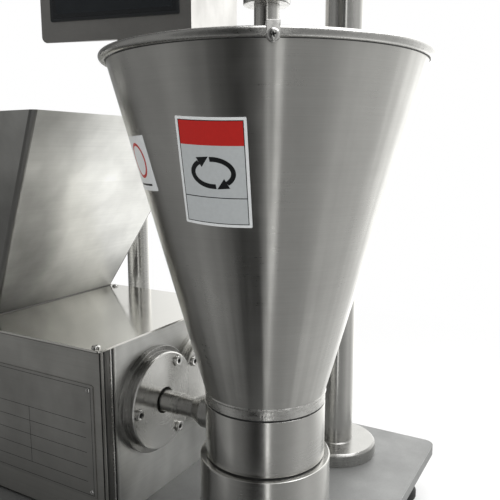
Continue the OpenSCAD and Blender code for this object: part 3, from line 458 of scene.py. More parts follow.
def bright_fastener():
    f = Finish("screw_steel", (0.72, 0.715, 0.70), 0.2)
    wear = f.noise(f.place, (260, 260, 260), 4)
    f.tint(wear, 0.86, 1.05)
    f.rough(wear, 0.15, 0.32)
    f.bump(f.noise(f.place, (1800, 1800, 1800), 2), 0.00001, 0.6)


def cut_gear_steel():
    f = Finish("gear_steel", (0.42, 0.415, 0.41), 0.34)
    oil = f.noise(f.place, (70, 70, 70), 4)
    f.tint(oil, 0.7, 1.1)
    f.rough(oil, 0.2, 0.42)
    f.bump(f.noise(f.place, (2200, 300, 300), 2), 0.00001, 0.7)


def bronze():
    f = Finish("bronze", (0.66, 0.46, 0.24), 0.33)
    f.handled(1.4)
    f.bump(f.noise(f.place, (1000, 1000, 1000), 2), 0.00003, 0.6)


def screen_glass():
    f = Finish("screen_glass", (0.012, 0.0135, 0.0155), 0.07, 0, Coat_Weight=0.5, Coat_Roughness=0.04)
    smudge = f.noise(f.place, (38, 38, 38), 4, 0.6)
    f.rough(smudge, 0.05, 0.14)


def display_glass():
    f = Finish("display", (0.018, 0.021, 0.024), 0.16, 0)
    smudge = f.noise(f.place, (38, 38, 38), 4, 0.6)
    f.rough(smudge, 0.13, 0.24)
    f.tint(smudge, 0.9, 1.1)


def printed_vinyl(name, color):
    f = Finish(name, color, 0.38, 0, Specular_IOR_Level=0.3)
    fibre = f.noise(f.place, (300, 300, 300), 3)
    f.tint(fibre, 0.96, 1.02)
    f.bump(fibre, 0.00003, 0.5)


def make_finishes():
    """Makes every finish of the machine. Each one enters itself in SURFACE under its name."""
    machined, bright = (0.62, 0.615, 0.595), (0.74, 0.735, 0.715)
    for make in (spun_cone_steel, box_steel_painted_reflections, feed_sheet_painted_reflections, rolled_rim_steel, belt_polished_band,
                 mirror_lid_steel, bright_fastener, satin_plate, cut_gear_steel, bronze, screen_glass,
                 display_glass):
        make()
    cap_steel_painted_rim_shade(bright)
    for name, color, roughness, along, grain in (
            # Darkened brushed steel: painted shade along the feed hopper's bends.
            ("fold_steel", (0.30, 0.298, 0.29), 0.34, Y, 0.5),
            ("cover_steel", (0.50, 0.495, 0.475), 0.40, X, 1.0),
            ("panel_steel", (0.56, 0.55, 0.535), 0.38, X, 0.8),
            # Darkened brushed steel: painted shade in the cover's channel and on the feed weld.
            ("channel_steel", (0.25, 0.247, 0.238), 0.4, Z, 0.7),
            ("outlet_steel", machined, 0.3, Z, 1.0),
            ("arm_steel", (0.63, 0.625, 0.61), 0.34, Y, 1.0),
            ("plate_edge", (0.55, 0.55, 0.545), 0.42, X, 0.5),
            ("label_metal", (0.43, 0.425, 0.41), 0.40, X, 0.8)):
        brushed_sheet(name, color, roughness, along, grain)
    for name, color, roughness, axis, middle, worn in (
            ("neck_steel", machined, 0.21, Z, HOPPER, 0.7),
            ("second_cap_steel", bright, 0.23, X, centre("second_screw_shaft"), 0.7),
            ("pipe_steel", (0.5, 0.495, 0.48), 0.27, X, PIPE, 0.7),
            ("post_steel", machined, 0.22, Z, centre("rear_post"), 0.3),
            ("flange_steel", (0.42, 0.417, 0.405), 0.26, Z, centre("rear_post"), 0.7),
            ("screen_post_steel", machined, 0.28, Z, centre("front_post"), 0.1)):
        turned_steel(name, color, roughness, axis, middle, worn=worn)
    for name, color, roughness, texture, coat in (
            ("rubber", (0.022, 0.022, 0.023), 0.62, 2.0, 0.0),
            # This black also stands as painted shade in the rim crevice, in the cover's fold, groove and seam
            # strips, and at the bottoms of screw recesses.
            ("seal_rubber", (0.012, 0.012, 0.012), 0.5, 1.0, 0.0),
            ("black_plastic", (0.02, 0.021, 0.023), 0.45, 1.6, 0.0),
            ("screen_black", (0.018, 0.02, 0.022), 0.32, 0.6, 0.3),
            ("green_plastic", (0.02, 0.26, 0.08), 0.28, 0.3, 0.4),
            ("red_plastic", (0.52, 0.02, 0.015), 0.28, 0.3, 0.4)):
        moulded(name, color, roughness, texture, Coat_Weight=coat)
    for name, color in (("motor_paint", (0.085, 0.115, 0.15)), ("gearbox_paint", (0.33, 0.35, 0.36))):
        enamel(name, color)
    for name, color in (("white_vinyl", (0.78, 0.80, 0.80)), ("field_vinyl", (0.50, 0.525, 0.53)),
                        ("red_ink", (0.52, 0.008, 0.004)), ("black_ink", (0.008, 0.009, 0.010))):
        printed_vinyl(name, color)


# ---------------------------------------------------------------- making meshes
def placed_object(name, mesh, finish, stands_for=(), body="frame"):
    """Puts a finished mesh in the scene on its body, with its material."""
    obj = bpy.data.objects.new(name, mesh)
    bpy.context.scene.collection.objects.link(obj)
    if finish and not mesh.materials:
        mesh.materials.append(SURFACE[finish])
    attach(obj, body)
    if stands_for:
        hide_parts(*stands_for)
    return obj


def plain_mesh(obj):
    """The object's mesh with its modifiers applied, and the object removed."""
    graph = bpy.context.evaluated_depsgraph_get()
    graph.update()
    mesh = bpy.data.meshes.new_from_object(obj.evaluated_get(graph), depsgraph=graph)
    name = obj.name
    bpy.data.objects.remove(obj)
    mesh.name = name
    return mesh


def on_circle(r, angle, z=0.0):
    return Vector((r * math.cos(angle), r * math.sin(angle), z))


def shade(mesh, angle=32):
    """Smooth faces, with edges over the angle kept sharp."""
    mesh.shade_smooth()
    mesh.set_sharp_from_angle(angle=math.radians(angle))
    return mesh


def mesh_from(bm, name, angle=32):
    mesh = bpy.data.meshes.new(name)
    bm.to_mesh(mesh)
    bm.free()
    return shade(mesh, angle)


def closed_mesh(bm, name, angle=32):
    """A mesh from a closed shape, with its faces turned outwards."""
    bmesh.ops.recalc_face_normals(bm, faces=bm.faces)
    return mesh_from(bm, name, angle)


def join_rings(bm, rings):
    """Four-sided faces between each ring of points and the next."""
    faces = []
    for a, b in zip(rings, rings[1:]):
        for k in range(len(a)):
            j = (k + 1) % len(a)
            faces.append(bm.faces.new((a[k], a[j], b[j], b[k])))
    return faces


def merged(node):
    """A bmesh copy of a CAD node with its loose triangles joined."""
    bm = bmesh.new()
    bm.from_mesh(NODES[node].data)
    bmesh.ops.remove_doubles(bm, verts=bm.verts, dist=2e-6)
    return bm


def clean_faces(node):
    """The same, with flat areas made single faces."""
    bm = merged(node)
    bmesh.ops.dissolve_limit(bm, angle_limit=math.radians(0.6), verts=bm.verts, edges=bm.edges)
    return bm


def refined(node, finish, bevel, segments=2, edge=None):
    """A copy of a CAD node with its hard edges rounded, standing for the node. edge finishes the rounding."""
    bm = clean_faces(node)
    mesh = bpy.data.meshes.new(node + "_fine")
    bm.to_mesh(mesh)
    bm.free()
    mesh.materials.clear()
    mesh.materials.append(SURFACE[finish])
    obj = bpy.data.objects.new(node + "_fine", mesh)
    bpy.context.scene.collection.objects.link(obj)
    mod = obj.modifiers.new("rounding", "BEVEL")
    mod.width, mod.segments, mod.limit_method = bevel, segments, "ANGLE"
    mod.angle_limit = math.radians(34)
    mod.miter_outer = "MITER_ARC"
    if edge:
        mesh.materials.append(SURFACE[edge])
        mod.material = 1
    mesh.shade_smooth()
    obj.modifiers.new("flat_faces", "WEIGHTED_NORMAL").keep_sharp = True
    return placed_object(node + "_fine", plain_mesh(obj), None, (node,), NODES[node]["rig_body"])


def refine_all(rows):
    """Rows of CAD node, finish, rounding in millimetres, material slot (not used) and steps of the rounding.
    """
    for node, finish, rounding, slot, steps in rows:
        refined(node, finish, rounding * MM, steps)


def filleted(points, radius, steps=4):
    """An open outline with each inner corner rounded. A point may carry its own radius as a third value."""
    out = [points[0][:2]]
    for i in range(1, len(points) - 1):
        a, b, c = (Vector(points[i + k][:2]) for k in (-1, 0, 1))
        r = points[i][2] if len(points[i]) > 2 else radius
        r = min(r, (a - b).length * 0.49, (c - b).length * 0.49)
        if r < 1e-6:
            out.append(tuple(b))
            continue
        p, q = b + (a - b).normalized() * r, b + (c - b).normalized() * r
        for k in range(steps + 1):
            t = k / steps
            out.append(tuple(p * (1 - t) ** 2 + b * 2 * t * (1 - t) + q * t * t))
    out.append(points[-1][:2])
    return out


def turned_mesh(name, profile, origin, axis=Z, steps=128, angle=32):
    """A closed solid turned from an outline of (radius, height) that starts and ends on, or off, the axis."""
    turn = Z.rotation_difference(axis).to_matrix()
    bm = bmesh.new()
    rings = []
    for r, h in profile:
        count = steps if r > 1e-9 else 1
        around = (on_circle(r, k * math.tau / steps, h) for k in range(count))
        rings.append([bm.verts.new(origin + turn @ p) for p in around])
    pairs = list(zip(rings, rings[1:]))
    if profile[0][0] > 1e-9:
        pairs.append((rings[-1], rings[0]))
    for a, b in pairs:
        for k in range(steps):
            j = (k + 1) % steps
            face = list(dict.fromkeys((a[k % len(a)], a[j % len(a)], b[j % len(b)], b[k % len(b)])))
            if len(face) > 2:
                bm.faces.new(face)
    return closed_mesh(bm, name, angle)


def turned_piece(name, profile, origin, finish, stands_for=(), axis=Z, steps=128, angle=32):
    mesh = turned_mesh(name, profile, origin, axis, steps, angle)
    return placed_object(name, mesh, finish, stands_for)


def islands(node):
    """The separate solids of a CAD node, each as a list of points."""
    bm = merged(node)
    left, found = set(bm.verts), []
    while left:
        stack, group = [left.pop()], []
        while stack:
            v = stack.pop()
            group.append(v.co.copy())
            for e in v.link_edges:
                w = e.other_vert(v)
                if w in left:
                    left.discard(w)
                    stack.append(w)
        found.append(group)
    bm.free()
    return sorted(found, key=lambda g: tuple(round(c, 5) for c in sum(g, Vector()) / len(g)))


def span(points, axis):
    """The lowest and the highest point of a group along an axis."""
    reach = [p.dot(axis) for p in points]
    return min(reach), max(reach)


def girth(points, mid, axis):
    """How far a group reaches to the side of an axis through its middle."""
    return max((p - mid - axis * (p - mid).dot(axis)).length for p in points)


SCREW_AXES = [X, Y, Z, Vector((math.cos(math.radians(-60)), math.sin(math.radians(-60)), 0))]
CAP_HEAD, PAN_HEAD = 8 * MM, 3.4 * MM
END_SLICE, END_CROWD = 0.0006, 0.004


def seats(node, head_height):
    """Where each screw's head rests and which way it faces, read from the CAD solids."""
    out = []
    for group in islands(node):
        mid = sum(group, Vector()) / len(group)
        ends = []
        for axis in SCREW_AXES:
            lo, hi = span(group, axis)
            ends.append((round(girth(group, mid, axis), 5), lo - hi, axis))
        axis = min(ends, key=lambda e: e[:2])[2]
        lo, hi = span(group, axis)
        facing, tip = (axis, hi) if head_is_up(group, mid, axis) else (-axis, -lo)
        out.append((mid - axis * mid.dot(axis) + facing * (tip - head_height), facing))
    return out


def head_is_up(group, mid, axis):
    """True if the wide end of a screw lies on the far side along the axis."""
    lo, hi = span(group, axis)

    def width(level):
        return girth([p for p in group if abs(p.dot(axis) - level) < END_SLICE], mid, axis)

    def crowd(level):
        return sum(1 for p in group if abs(p.dot(axis) - level) < END_CROWD)

    return width(hi) > width(lo) or crowd(hi) > crowd(lo)


# ---------------------------------------------------------------- geometry nodes for repeated parts
SEED = 7


def seat_tree(name):
    """Sets a part on every point, turned to face along the point's normal, each with its own clocking."""
    tree = bpy.data.node_groups.new(name, "GeometryNodeTree")
    for label, kind in (("Seats", "Geometry"), ("Part", "Object"), ("Size", "Float"), ("Clocking", "Float"),
                        ("Finish", "Material")):
        tree.interface.new_socket(label, in_out="INPUT", socket_type="NodeSocket" + kind)
    tree.interface.new_socket("Parts", in_out="OUTPUT", socket_type="NodeSocketGeometry")
    n = Nodes(tree)
    given = n.add("NodeGroupInput").outputs
    way = n.add("GeometryNodeInputNamedAttribute", ins={"Name": "facing"}, data_type="FLOAT_VECTOR")
    align = n.add("FunctionNodeAlignRotationToVector", ins={"Vector": way.outputs["Attribute"]}, axis="Z")
    part = n.add("GeometryNodeObjectInfo", ins={"Object": given["Part"]})
    put = n.add("GeometryNodeInstanceOnPoints", ins={
        "Points": given["Seats"], "Instance": part.outputs["Geometry"],
        "Rotation": align.outputs["Rotation"], "Scale": given["Size"]})
    turn = n.add("FunctionNodeRandomValue", ins={"Seed": SEED, 3: given["Clocking"]}, data_type="FLOAT")
    about = n.add("ShaderNodeCombineXYZ", ins={"Z": turn.outputs[1]})
    spin = n.add("GeometryNodeRotateInstances", ins={0: put.outputs[0], "Rotation": about.outputs[0]})
    real = n.add("GeometryNodeRealizeInstances", ins={0: spin.outputs[0]})
    cover = n.add("GeometryNodeSetMaterial", ins={"Geometry": real.outputs[0], "Material": given["Finish"]})
    n.add("NodeGroupOutput", ins={0: cover.outputs[0]})
    return tree


def set_inputs(mod, **values):
    for item in mod.node_group.interface.items_tree:
        if item.item_type == "SOCKET" and item.in_out == "INPUT" and item.name in values:
            mod[item.identifier] = values[item.name]


def on_seats(name, places, part_mesh, finish, stands_for=(), clocking=0.0):
    """One copy of a part on every (point, facing) place, as one plain mesh."""
    mesh = bpy.data.meshes.new(name)
    mesh.from_pydata([p for p, _ in places], [], [])
    facing = mesh.attributes.new("facing", "FLOAT_VECTOR", "POINT")
    for i, (_, way) in enumerate(places):
        facing.data[i].vector = way
    part = bpy.data.objects.new(name + "_part", part_mesh)
    obj = bpy.data.objects.new(name, mesh)
    for o in (part, obj):
        bpy.context.scene.collection.objects.link(o)
    mod = obj.modifiers.new("seats", "NODES")
    mod.node_group = SEAT_TREE
    set_inputs(mod, Part=part, Size=1.0, Clocking=clocking, Finish=SURFACE[finish])
    made = plain_mesh(obj)
    bpy.data.objects.remove(part)
    return placed_object(name, made, None, stands_for)


def hex_socket(bm, radius, top, depth):
    """The six walls and the drilled floor of a hexagon socket, whose mouth it returns."""
    mouth = [bm.verts.new(on_circle(radius, k * math.tau / 6, top)) for k in range(6)]
    floor = [bm.verts.new((v.co.x, v.co.y, top - depth)) for v in mouth]
    tip = bm.verts.new((0, 0, top - depth - radius * 0.5))
    for i in range(6):
        j = (i + 1) % 6
        bm.faces.new((mouth[i], floor[i], floor[j], mouth[j]))
        bm.faces.new((floor[i], tip, floor[j]))
    return mouth


def cap_screw_mesh():
    """An M8 socket cap head: knurled side, rounded shoulder and a hexagon socket with a bevelled mouth."""
    head_r, head_h, key_r, ring = 6.5 * MM, CAP_HEAD, 3.5 * MM, 72
    bm = bmesh.new()
    sides = []
    for r, h in filleted([(head_r - 0.3 * MM, 0), (head_r, 0.5 * MM), (head_r, head_h),
                          (key_r + 1.4 * MM, head_h)], 0.9 * MM):
        knurl = 0.16 * MM if 0.8 * MM < h < head_h - 1.3 * MM else 0.0
        sides.append([bm.verts.new(on_circle(r - knurl * (k % 2), k * math.tau / ring, h))
                      for k in range(ring)])
    join_rings(bm, sides)
    bm.faces.new(list(reversed(sides[0])))
    mouth = hex_socket(bm, key_r, head_h - 0.5 * MM, 3.8 * MM)
    step = ring // 6
    for i in range(6):
        j = (i + 1) % 6
        arc = [sides[-1][(i * step + k) % ring] for k in range(step + 1)]
        for k in range(step):
            bm.faces.new((arc[k], arc[k + 1], mouth[i] if k < step // 2 else mouth[j]))
        bm.faces.new((arc[step // 2], mouth[j], mouth[i]))
    return closed_mesh(bm, "cap_screw_part", 28)


def socket_shadow_mesh():
    """A dark disc at the bottom of a hexagon socket: painted shadow."""
    return turned_mesh("socket_shadow_part", [(0, 5.2 * MM), (3.45 * MM, 5.2 * MM), (3.45 * MM, 5.6 * MM),
                                              (0, 5.3 * MM)], Vector(), Z, 6)


def pan_screw_mesh():
    """An M5 pan head with a cross recess."""
    head_r, rim = 5 * MM, 1.0 * MM
    dome = [(head_r, 0.0), (head_r, rim)]
    for t in (k * math.pi / 10 for k in range(1, 5)):
        dome.append((head_r * math.cos(t) ** 0.8, rim + (PAN_HEAD - rim) * math.sin(t) ** 0.9))
    head = turned_mesh("pan_screw_part", [(0, 0.0), *dome, (0, PAN_HEAD)], Vector(), Z, 48)
    return recessed(head, cross_cutter(2.7 * MM, 0.75 * MM, PAN_HEAD, 2.0 * MM))


def cross_cutter(reach, half, top, depth):
    """A tapering cross, as the point of a cross-head driver."""
    bm = bmesh.new()
    for a in (0, math.pi / 2):
        turn = Matrix.Rotation(a, 4, "Z")
        ends = [[bm.verts.new(turn @ Vector((x * reach * k, y * half * (0.5 + k / 2), z))) for x, y in SQUARE]
                for z, k in ((top + 1 * MM, 1.15), (top - depth, 0.35))]
        join_rings(bm, ends)
        for end in ends:
            bm.faces.new(end)
    return closed_mesh(bm, "cross_point")


def recessed(mesh, cutter):
    """The mesh with the cutter's shape taken out of it."""
    obj, tool = bpy.data.objects.new(mesh.name, mesh), bpy.data.objects.new("cutting_tool", cutter)
    for o in (obj, tool):
        bpy.context.scene.collection.objects.link(o)
    mod = obj.modifiers.new("recess", "BOOLEAN")
    mod.operation, mod.object, mod.solver, mod.use_self = "DIFFERENCE", tool, "EXACT", True
    made = plain_mesh(obj)
    bpy.data.objects.remove(tool)
    return shade(made, 28)


def cross_shadow_mesh():
    """The dark bottom of a cross recess."""
    bm = bmesh.new()
    for wide, deep in ((4.2, 1.1), (1.1, 4.2)):
        bmesh.ops.create_cube(bm, size=1.0, matrix=Matrix.Translation((0, 0, 2.35 * MM)) @ Matrix.Diagonal(
            (wide * MM, deep * MM, 0.2 * MM, 1)))
    return mesh_from(bm, "cross_shadow_part")


def rivet_mesh():
    profile = [(0, 0.0), (3.0 * MM, 0.0), (2.9 * MM, 0.35 * MM), (2.4 * MM, 0.85 * MM), (1.5 * MM, 1.2 * MM),
               (0.95 * MM, 1.28 * MM), (0.9 * MM, 0.9 * MM), (0.0, 0.9 * MM)]
    return turned_mesh("rivet_part", profile, Vector(), Z, 32)


# ---------------------------------------------------------------- cone hopper and pump
RIM_BEAD = 4.2 * MM
SHEET = 1.5 * MM
ROUND = 256


def cone_sizes():
    """Radii and heights of the cone, read from the frame."""
    lo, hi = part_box("hopper")
    neck = size("pump_neck").x / 2
    rim = (hi.x - lo.x) / 2
    ring = rim - RIM_BEAD
    return {"neck": neck, "ring": ring, "bead_z": hi.z - RIM_BEAD, "band": lo.z, "cone": lo.z + 12 * MM,
            "top": hi.z - 2 * RIM_BEAD, "edge": ring - RIM_BEAD + 1 * MM}


def make_hopper():
    """The cone with its rolled rim, the shadow under the roll, and the welded band at its foot."""
    c = cone_sizes()
    axis = foot_of("hopper")
    neck, edge, foot, top = c["neck"], c["edge"], c["cone"], c["top"]
    outer = [(neck + (edge - neck) * k / 24, foot + (top - foot) * k / 24) for k in range(25)]
    inner = [(r - SHEET, z) for r, z in reversed(outer)]
    turned_piece("hopper_cone", outer + inner, axis, "cone_steel", ("hopper",),
                 steps=ROUND, angle=25)
    band = [(neck - SHEET, c["band"]), (neck, c["band"], 0.4 * MM), (neck, foot - 2.4 * MM)]
    band += [(neck + 0.95 * MM * math.sin(k * math.pi / 6), foot - 2.2 * MM + 2.6 * MM * k / 6)
             for k in range(1, 6)]
    band += [(neck + 0.1 * MM, foot + 0.5 * MM), (neck - SHEET, foot + 0.5 * MM)]
    turned_piece("hopper_band", filleted(band, 0.0), axis, "band_steel", steps=ROUND)
    curl = [math.radians(205 + 345 * k / 26) for k in range(27)]
    bead = [(c["ring"] + RIM_BEAD * math.cos(a), c["bead_z"] + RIM_BEAD * math.sin(a)) for a in curl]
    turned_piece("hopper_rim", bead, axis, "rim_steel", steps=ROUND, angle=60)
    # A thin black ring in the crevice under the roll: painted shadow.
    crack = [(edge + r * MM, top + h * MM) for r, h in ((-0.6, 0.9), (-0.4, -0.4), (0.2, -0.25), (0.9, 0.6))]
    turned_piece("rim_crevice", crack, axis, "seal_rubber", steps=ROUND)


def make_pump():
    """The pump's neck ring and body, with a black seal on each."""
    axis = foot_of("hopper")
    lo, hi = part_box("pump_neck")
    r, bore = size("pump_neck").x / 2, 56 * MM
    ring = [(bore, lo.z), (r, lo.z), (r, hi.z), (bore, hi.z), (bore, lo.z)]
    turned_piece("neck_ring", filleted(ring, 0.7 * MM)[:-1], axis, "neck_steel",
                 ("pump_neck",), steps=192)
    lo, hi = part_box("pump_base")
    foot_r, hole, ledge = size("pump_base").x / 2, 15.1 * MM, lo.z + 10 * MM
    body_r = foot_r - 18 * MM
    outline = [(hole, lo.z), (foot_r, lo.z), (foot_r, ledge, 1.2 * MM), (body_r, ledge, 2.5 * MM),
               (body_r, hi.z, 1.6 * MM), (hole, hi.z)]
    turned_piece("pump_body", filleted(outline, 0.8 * MM), axis, "neck_steel",
                 ("pump_base",), steps=192)
    seal_r, seal_bore, tall = r - 0.6 * MM, 57 * MM, 2 * MM
    for k, node in enumerate(("pump_base", "pump_neck")):
        z = high(node).z
        seal = [(seal_bore, z), (seal_r, z), (seal_r, z + tall), (seal_bore, z + tall)]
        turned_piece(f"neck_seal_{k}", seal, axis, "seal_rubber",
                     () if k else ("neck_seals",), steps=160)


def make_filling_pipe():
    start = Vector((0, PIPE.y, PIPE.z))
    lo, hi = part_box("filling_pipe")
    r = size("filling_pipe").z / 2
    tube = [(r - SHEET, lo.x), (r, lo.x), (r, hi.x), (r - SHEET, hi.x)]
    turned_piece("pipe_tube", tube, start, "pipe_steel", ("filling_pipe",), X, 96)
    lo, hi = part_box("pipe_union")
    r = size("pipe_union").z / 2
    lip = r - 0.9 * MM
    sleeve = filleted([(r - 2 * MM, lo.x), (r, lo.x), (r, hi.x), (lip, hi.x), (lip, hi.x - 1 * MM)], 0.6 * MM)
    turned_piece("union_sleeve", sleeve, start, "pipe_steel", ("pipe_union",), X, 96)
    refined("pipe_collar", "pipe_steel", 0.5 * MM)


def make_agitator():
    refine_all((("agitator_blades", "arm_steel", 0.7, "machined_steel", 2),
                ("pump_rotor", "neck_steel", 0.6, "machined_steel", 2),
                ("agitator_shaft", "neck_steel", 0.8, "machined_steel", 2),
                ("hopper_crossbar", "screw_steel", 0.45, "machined_steel", 2),
                ("shaft_bushes", "bronze", 0.4, "bronze", 2)))


# ---------------------------------------------------------------- labels on the cone
def cone_wrap(phi, height, tilt):
    """Maps flat label places (right, up the slope), turned by tilt, onto the cone about one point of it."""
    cos_t, sin_t = math.cos(tilt), math.sin(tilt)
    c = cone_sizes()
    slope = (c["edge"] - c["neck"]) / (c["top"] - c["cone"])
    sine = slope / math.hypot(1, slope)
    radius = c["neck"] + slope * (PLATE_TOP + height - c["cone"])
    slant, foot = radius / sine, foot_of("hopper")

    def wrap(u, v, lift):
        u, v = u * cos_t - v * sin_t, u * sin_t + v * cos_t
        away, turn = math.hypot(u, slant + v), math.atan2(u, slant + v)
        r, drop = away * sine, (away - slant) * math.cos(math.asin(sine))
        r, z = r + lift * math.sqrt(1 - sine * sine), PLATE_TOP + height + drop - lift * sine
        return foot + on_circle(r, phi + turn / sine, z)

    return wrap


def strip_grid(bm, wrap, edges, lift, thick):
    """A thin solid from rows of (u, v) points that run side by side."""
    tops = [[bm.verts.new(wrap(u, v, lift + thick)) for u, v in row] for row in edges]
    lows = [[bm.verts.new(wrap(u, v, lift)) for u, v in row] for row in edges]
    for a, b, c, d in ((tops[i], tops[i + 1], lows[i], lows[i + 1]) for i in range(len(edges) - 1)):
        for k in range(len(a) - 1):
            bm.faces.new((a[k], a[k + 1], b[k + 1], b[k]))
            bm.faces.new((c[k], d[k], d[k + 1], c[k + 1]))
    for row, under in ((tops[0], lows[0]), (tops[-1], lows[-1])):
        for k in range(len(row) - 1):
            bm.faces.new((row[k], under[k], under[k + 1], row[k + 1]))
    for k in (0, -1):
        for i in range(len(edges) - 1):
            bm.faces.new((tops[i][k], tops[i + 1][k], lows[i + 1][k], lows[i][k]))


def rectangle_rows(u0, v0, u1, v1, corner=0.0, across=14):
    """Rows from bottom to top whose ends follow rounded corners."""
    levels = [v0 + (v1 - v0) * k / across for k in range(across + 1)]
    if corner:
        levels += [v0 + corner * (1 - math.cos(k * math.pi / 12)) for k in range(6)]
        levels += [v1 - corner * (1 - math.cos(k * math.pi / 12)) for k in range(6)]
    rows = []
    for v in sorted(set(levels)):
        near = min(v - v0, v1 - v)
        cut = corner - math.sqrt(max(0.0, corner ** 2 - (corner - near) ** 2)) if near < corner else 0.0
        rows.append([(u0 + cut + (u1 - u0 - 2 * cut) * k / across, v) for k in range(across + 1)])
    return rows


def ink_piece(name, wrap, shapes, finish, lift, thick=0.03 * MM):
    """Flat shapes laid on a surface as one thin film."""
    bm = bmesh.new()
    for rows in shapes:
        strip_grid(bm, wrap, rows, lift, thick)
    return placed_object(name, closed_mesh(bm, name, 50), finish)


def outline_rows(u0, v0, u1, v1, line):
    """Four thin strips round a rectangle."""
    return [rectangle_rows(u0, v0, u1, v0 + line), rectangle_rows(u0, v1 - line, u1, v1),
            rectangle_rows(u0, v0, u0 + line, v1), rectangle_rows(u1 - line, v0, u1, v1)]


def ring_rows(cu, cv, ru, rv, line, start, stop, steps=40):
    """A band along an ellipse between two angles, as its inner and outer edge."""
    angles = [math.radians(start + (stop - start) * k / steps) for k in range(steps + 1)]
    return [[(cu + (ru + s * line / 2) * math.cos(a), cv + (rv + s * line / 2) * math.sin(a)) for a in angles]
            for s in (-1, 1)]


def arrow_head(cu, cv, ru, rv, at, way, length, width):
    """A plain triangle that ends a band on an ellipse."""
    a = math.radians(at)
    mid = Vector((cu + ru * math.cos(a), cv + rv * math.sin(a)))
    along = Vector((-ru * math.sin(a), rv * math.cos(a))).normalized() * way
    side = Vector((along.y, -along.x)) * width / 2
    tip = mid + along * length
    return [[tuple(start.lerp(tip, k / 4)) for k in range(5)] for start in (mid - side, mid + side)]


LABEL_CORNER = 1.2 * MM
# Angle round the cone, height over the plate and tilt of each label
FRONT_LABEL = (math.radians(-81.8), 418 * MM, math.radians(-2.6))
SIDE_LABEL = (math.radians(-125.6), 425.5 * MM, 0.0)


def make_labels():
    """The tall label with its rotation arrows and the square one at the side, with nothing written."""
    wide, tall, edge, white, ink = 33 * MM, 49 * MM, 2.6 * MM, 0.1 * MM, 0.16 * MM
    wrap = cone_wrap(*FRONT_LABEL)
    ink_piece("label_sheet", wrap, [rectangle_rows(-wide, -tall, wide, tall, LABEL_CORNER, 20)],
              "white_vinyl", white / 2, white)
    u, v = wide - edge, tall - edge
    header, rule = v - 21.6 * MM, -22.2 * MM
    ink_piece("label_header", wrap, [rectangle_rows(-u, header, u, v)], "red_ink", ink)
    ink_piece("label_fields", wrap, [rectangle_rows(-u, -v, u, rule), rectangle_rows(-u, rule, u, header)],
              "field_vinyl", 0.155 * MM)
    lines = outline_rows(-u, -v, u, v, 0.7 * MM) + [rectangle_rows(-u, rule, u, rule + 0.8 * MM)]
    ru, rv, cv, band = 19 * MM, 12.2 * MM, 0.6 * MM, 4.4 * MM
    for half in (0, 180):
        lines.append(ring_rows(0, cv, ru, rv, band, half - 48, half + 97))
        lines.append(arrow_head(0, cv, ru, rv, half - 48, -1, 11 * MM, 10 * MM))
    ink_piece("label_print", wrap, lines, "black_ink", 0.2 * MM)
    wrap, half = cone_wrap(*SIDE_LABEL), 27 * MM
    ink_piece("side_label_sheet", wrap, [rectangle_rows(-half, -half, half, half, LABEL_CORNER)],
              "white_vinyl", white / 2, white)
    ring = ring_rows(0, 3 * MM, 16 * MM, 16 * MM, 3 * MM, 0, 360)
    rule = rectangle_rows(-17 * MM, -22 * MM, 17 * MM, -20 * MM)
    ink_piece("side_label_ring", wrap, [ring], "red_ink", ink)
    ink_piece("side_label_print", wrap, [rule], "black_ink", ink)


# ---------------------------------------------------------------- drive box
def make_drive_box():
    refine_all((("drive_housing", "box_steel", 0.9, "stainless", 3),
                ("front_cover", "cover_steel", 0.8, "cover_steel", 3),
                ("housing_lid", "lid_steel", 0.7, "stainless", 3),
                ("main_bearing_cap", "cap_steel", 0.5, "machined_steel", 3),
                ("second_bearing_cap", "second_cap_steel", 0.5, "machined_steel", 3),
                ("outlet_block", "outlet_steel", 0.9, "machined_steel", 3),
                ("outlet_nozzle", "outlet_steel", 0.6, "machined_steel", 2),
                ("cable_gland", "black_plastic", 0.5, "black_plastic", 2),
                ("feed_throat", "box_steel", 0.4, "stainless", 2),
                ("rating_plate", "label_metal", 0.25, "label_metal", 2)))
    for finish, nodes in (("arm_steel", ("right_gear_plate", "left_gear_plate", "screw_barrel")),
                          ("pipe_steel", ("inner_tube",)),
                          ("motor_paint", ("drive_gearmotor",)),
                          ("cap_steel", ("main_screw_shaft", "second_screw_shaft")),
                          ("screw_steel", ("screw_bearings", "main_screw_flight", "second_screw_flight")),
                          ("gear_steel", ("main_screw_gear", "second_screw_gear", "motor_pinion"))):
        for node in nodes:
            data = NODES[node].data
            data.materials.clear()
            data.materials.append(SURFACE[finish])


def box_between(bm, a, b):
    bmesh.ops.create_cube(bm, size=1.0, matrix=Matrix.Translation((a + b) / 2) @ Matrix.Diagonal(
        (*(abs(q) for q in b - a), 1)))


# From the front: name, start and end along the side, how far it stands out, in millimetres, and finish. The
# black and dark strips are painted shade, and the bead is a raised strip whose bright steel is a painted
# highlight
COVER_EDGE = [("fold_shadow", 0.0, 1.6, 0.05, "seal_rubber"), ("lip", 1.6, 6.0, 0.5, "cover_steel"),
              ("groove", 6.0, 8.6, 0.1, "seal_rubber"), ("channel", 8.6, 16.4, 0.25, "channel_steel"),
              ("bead", 16.4, 19.0, 0.7, "screw_steel"), ("seam", 19.0, 22.0, 0.1, "seal_rubber"),
              ("return", 22.0, 27.4, 0.3, "box_steel")]


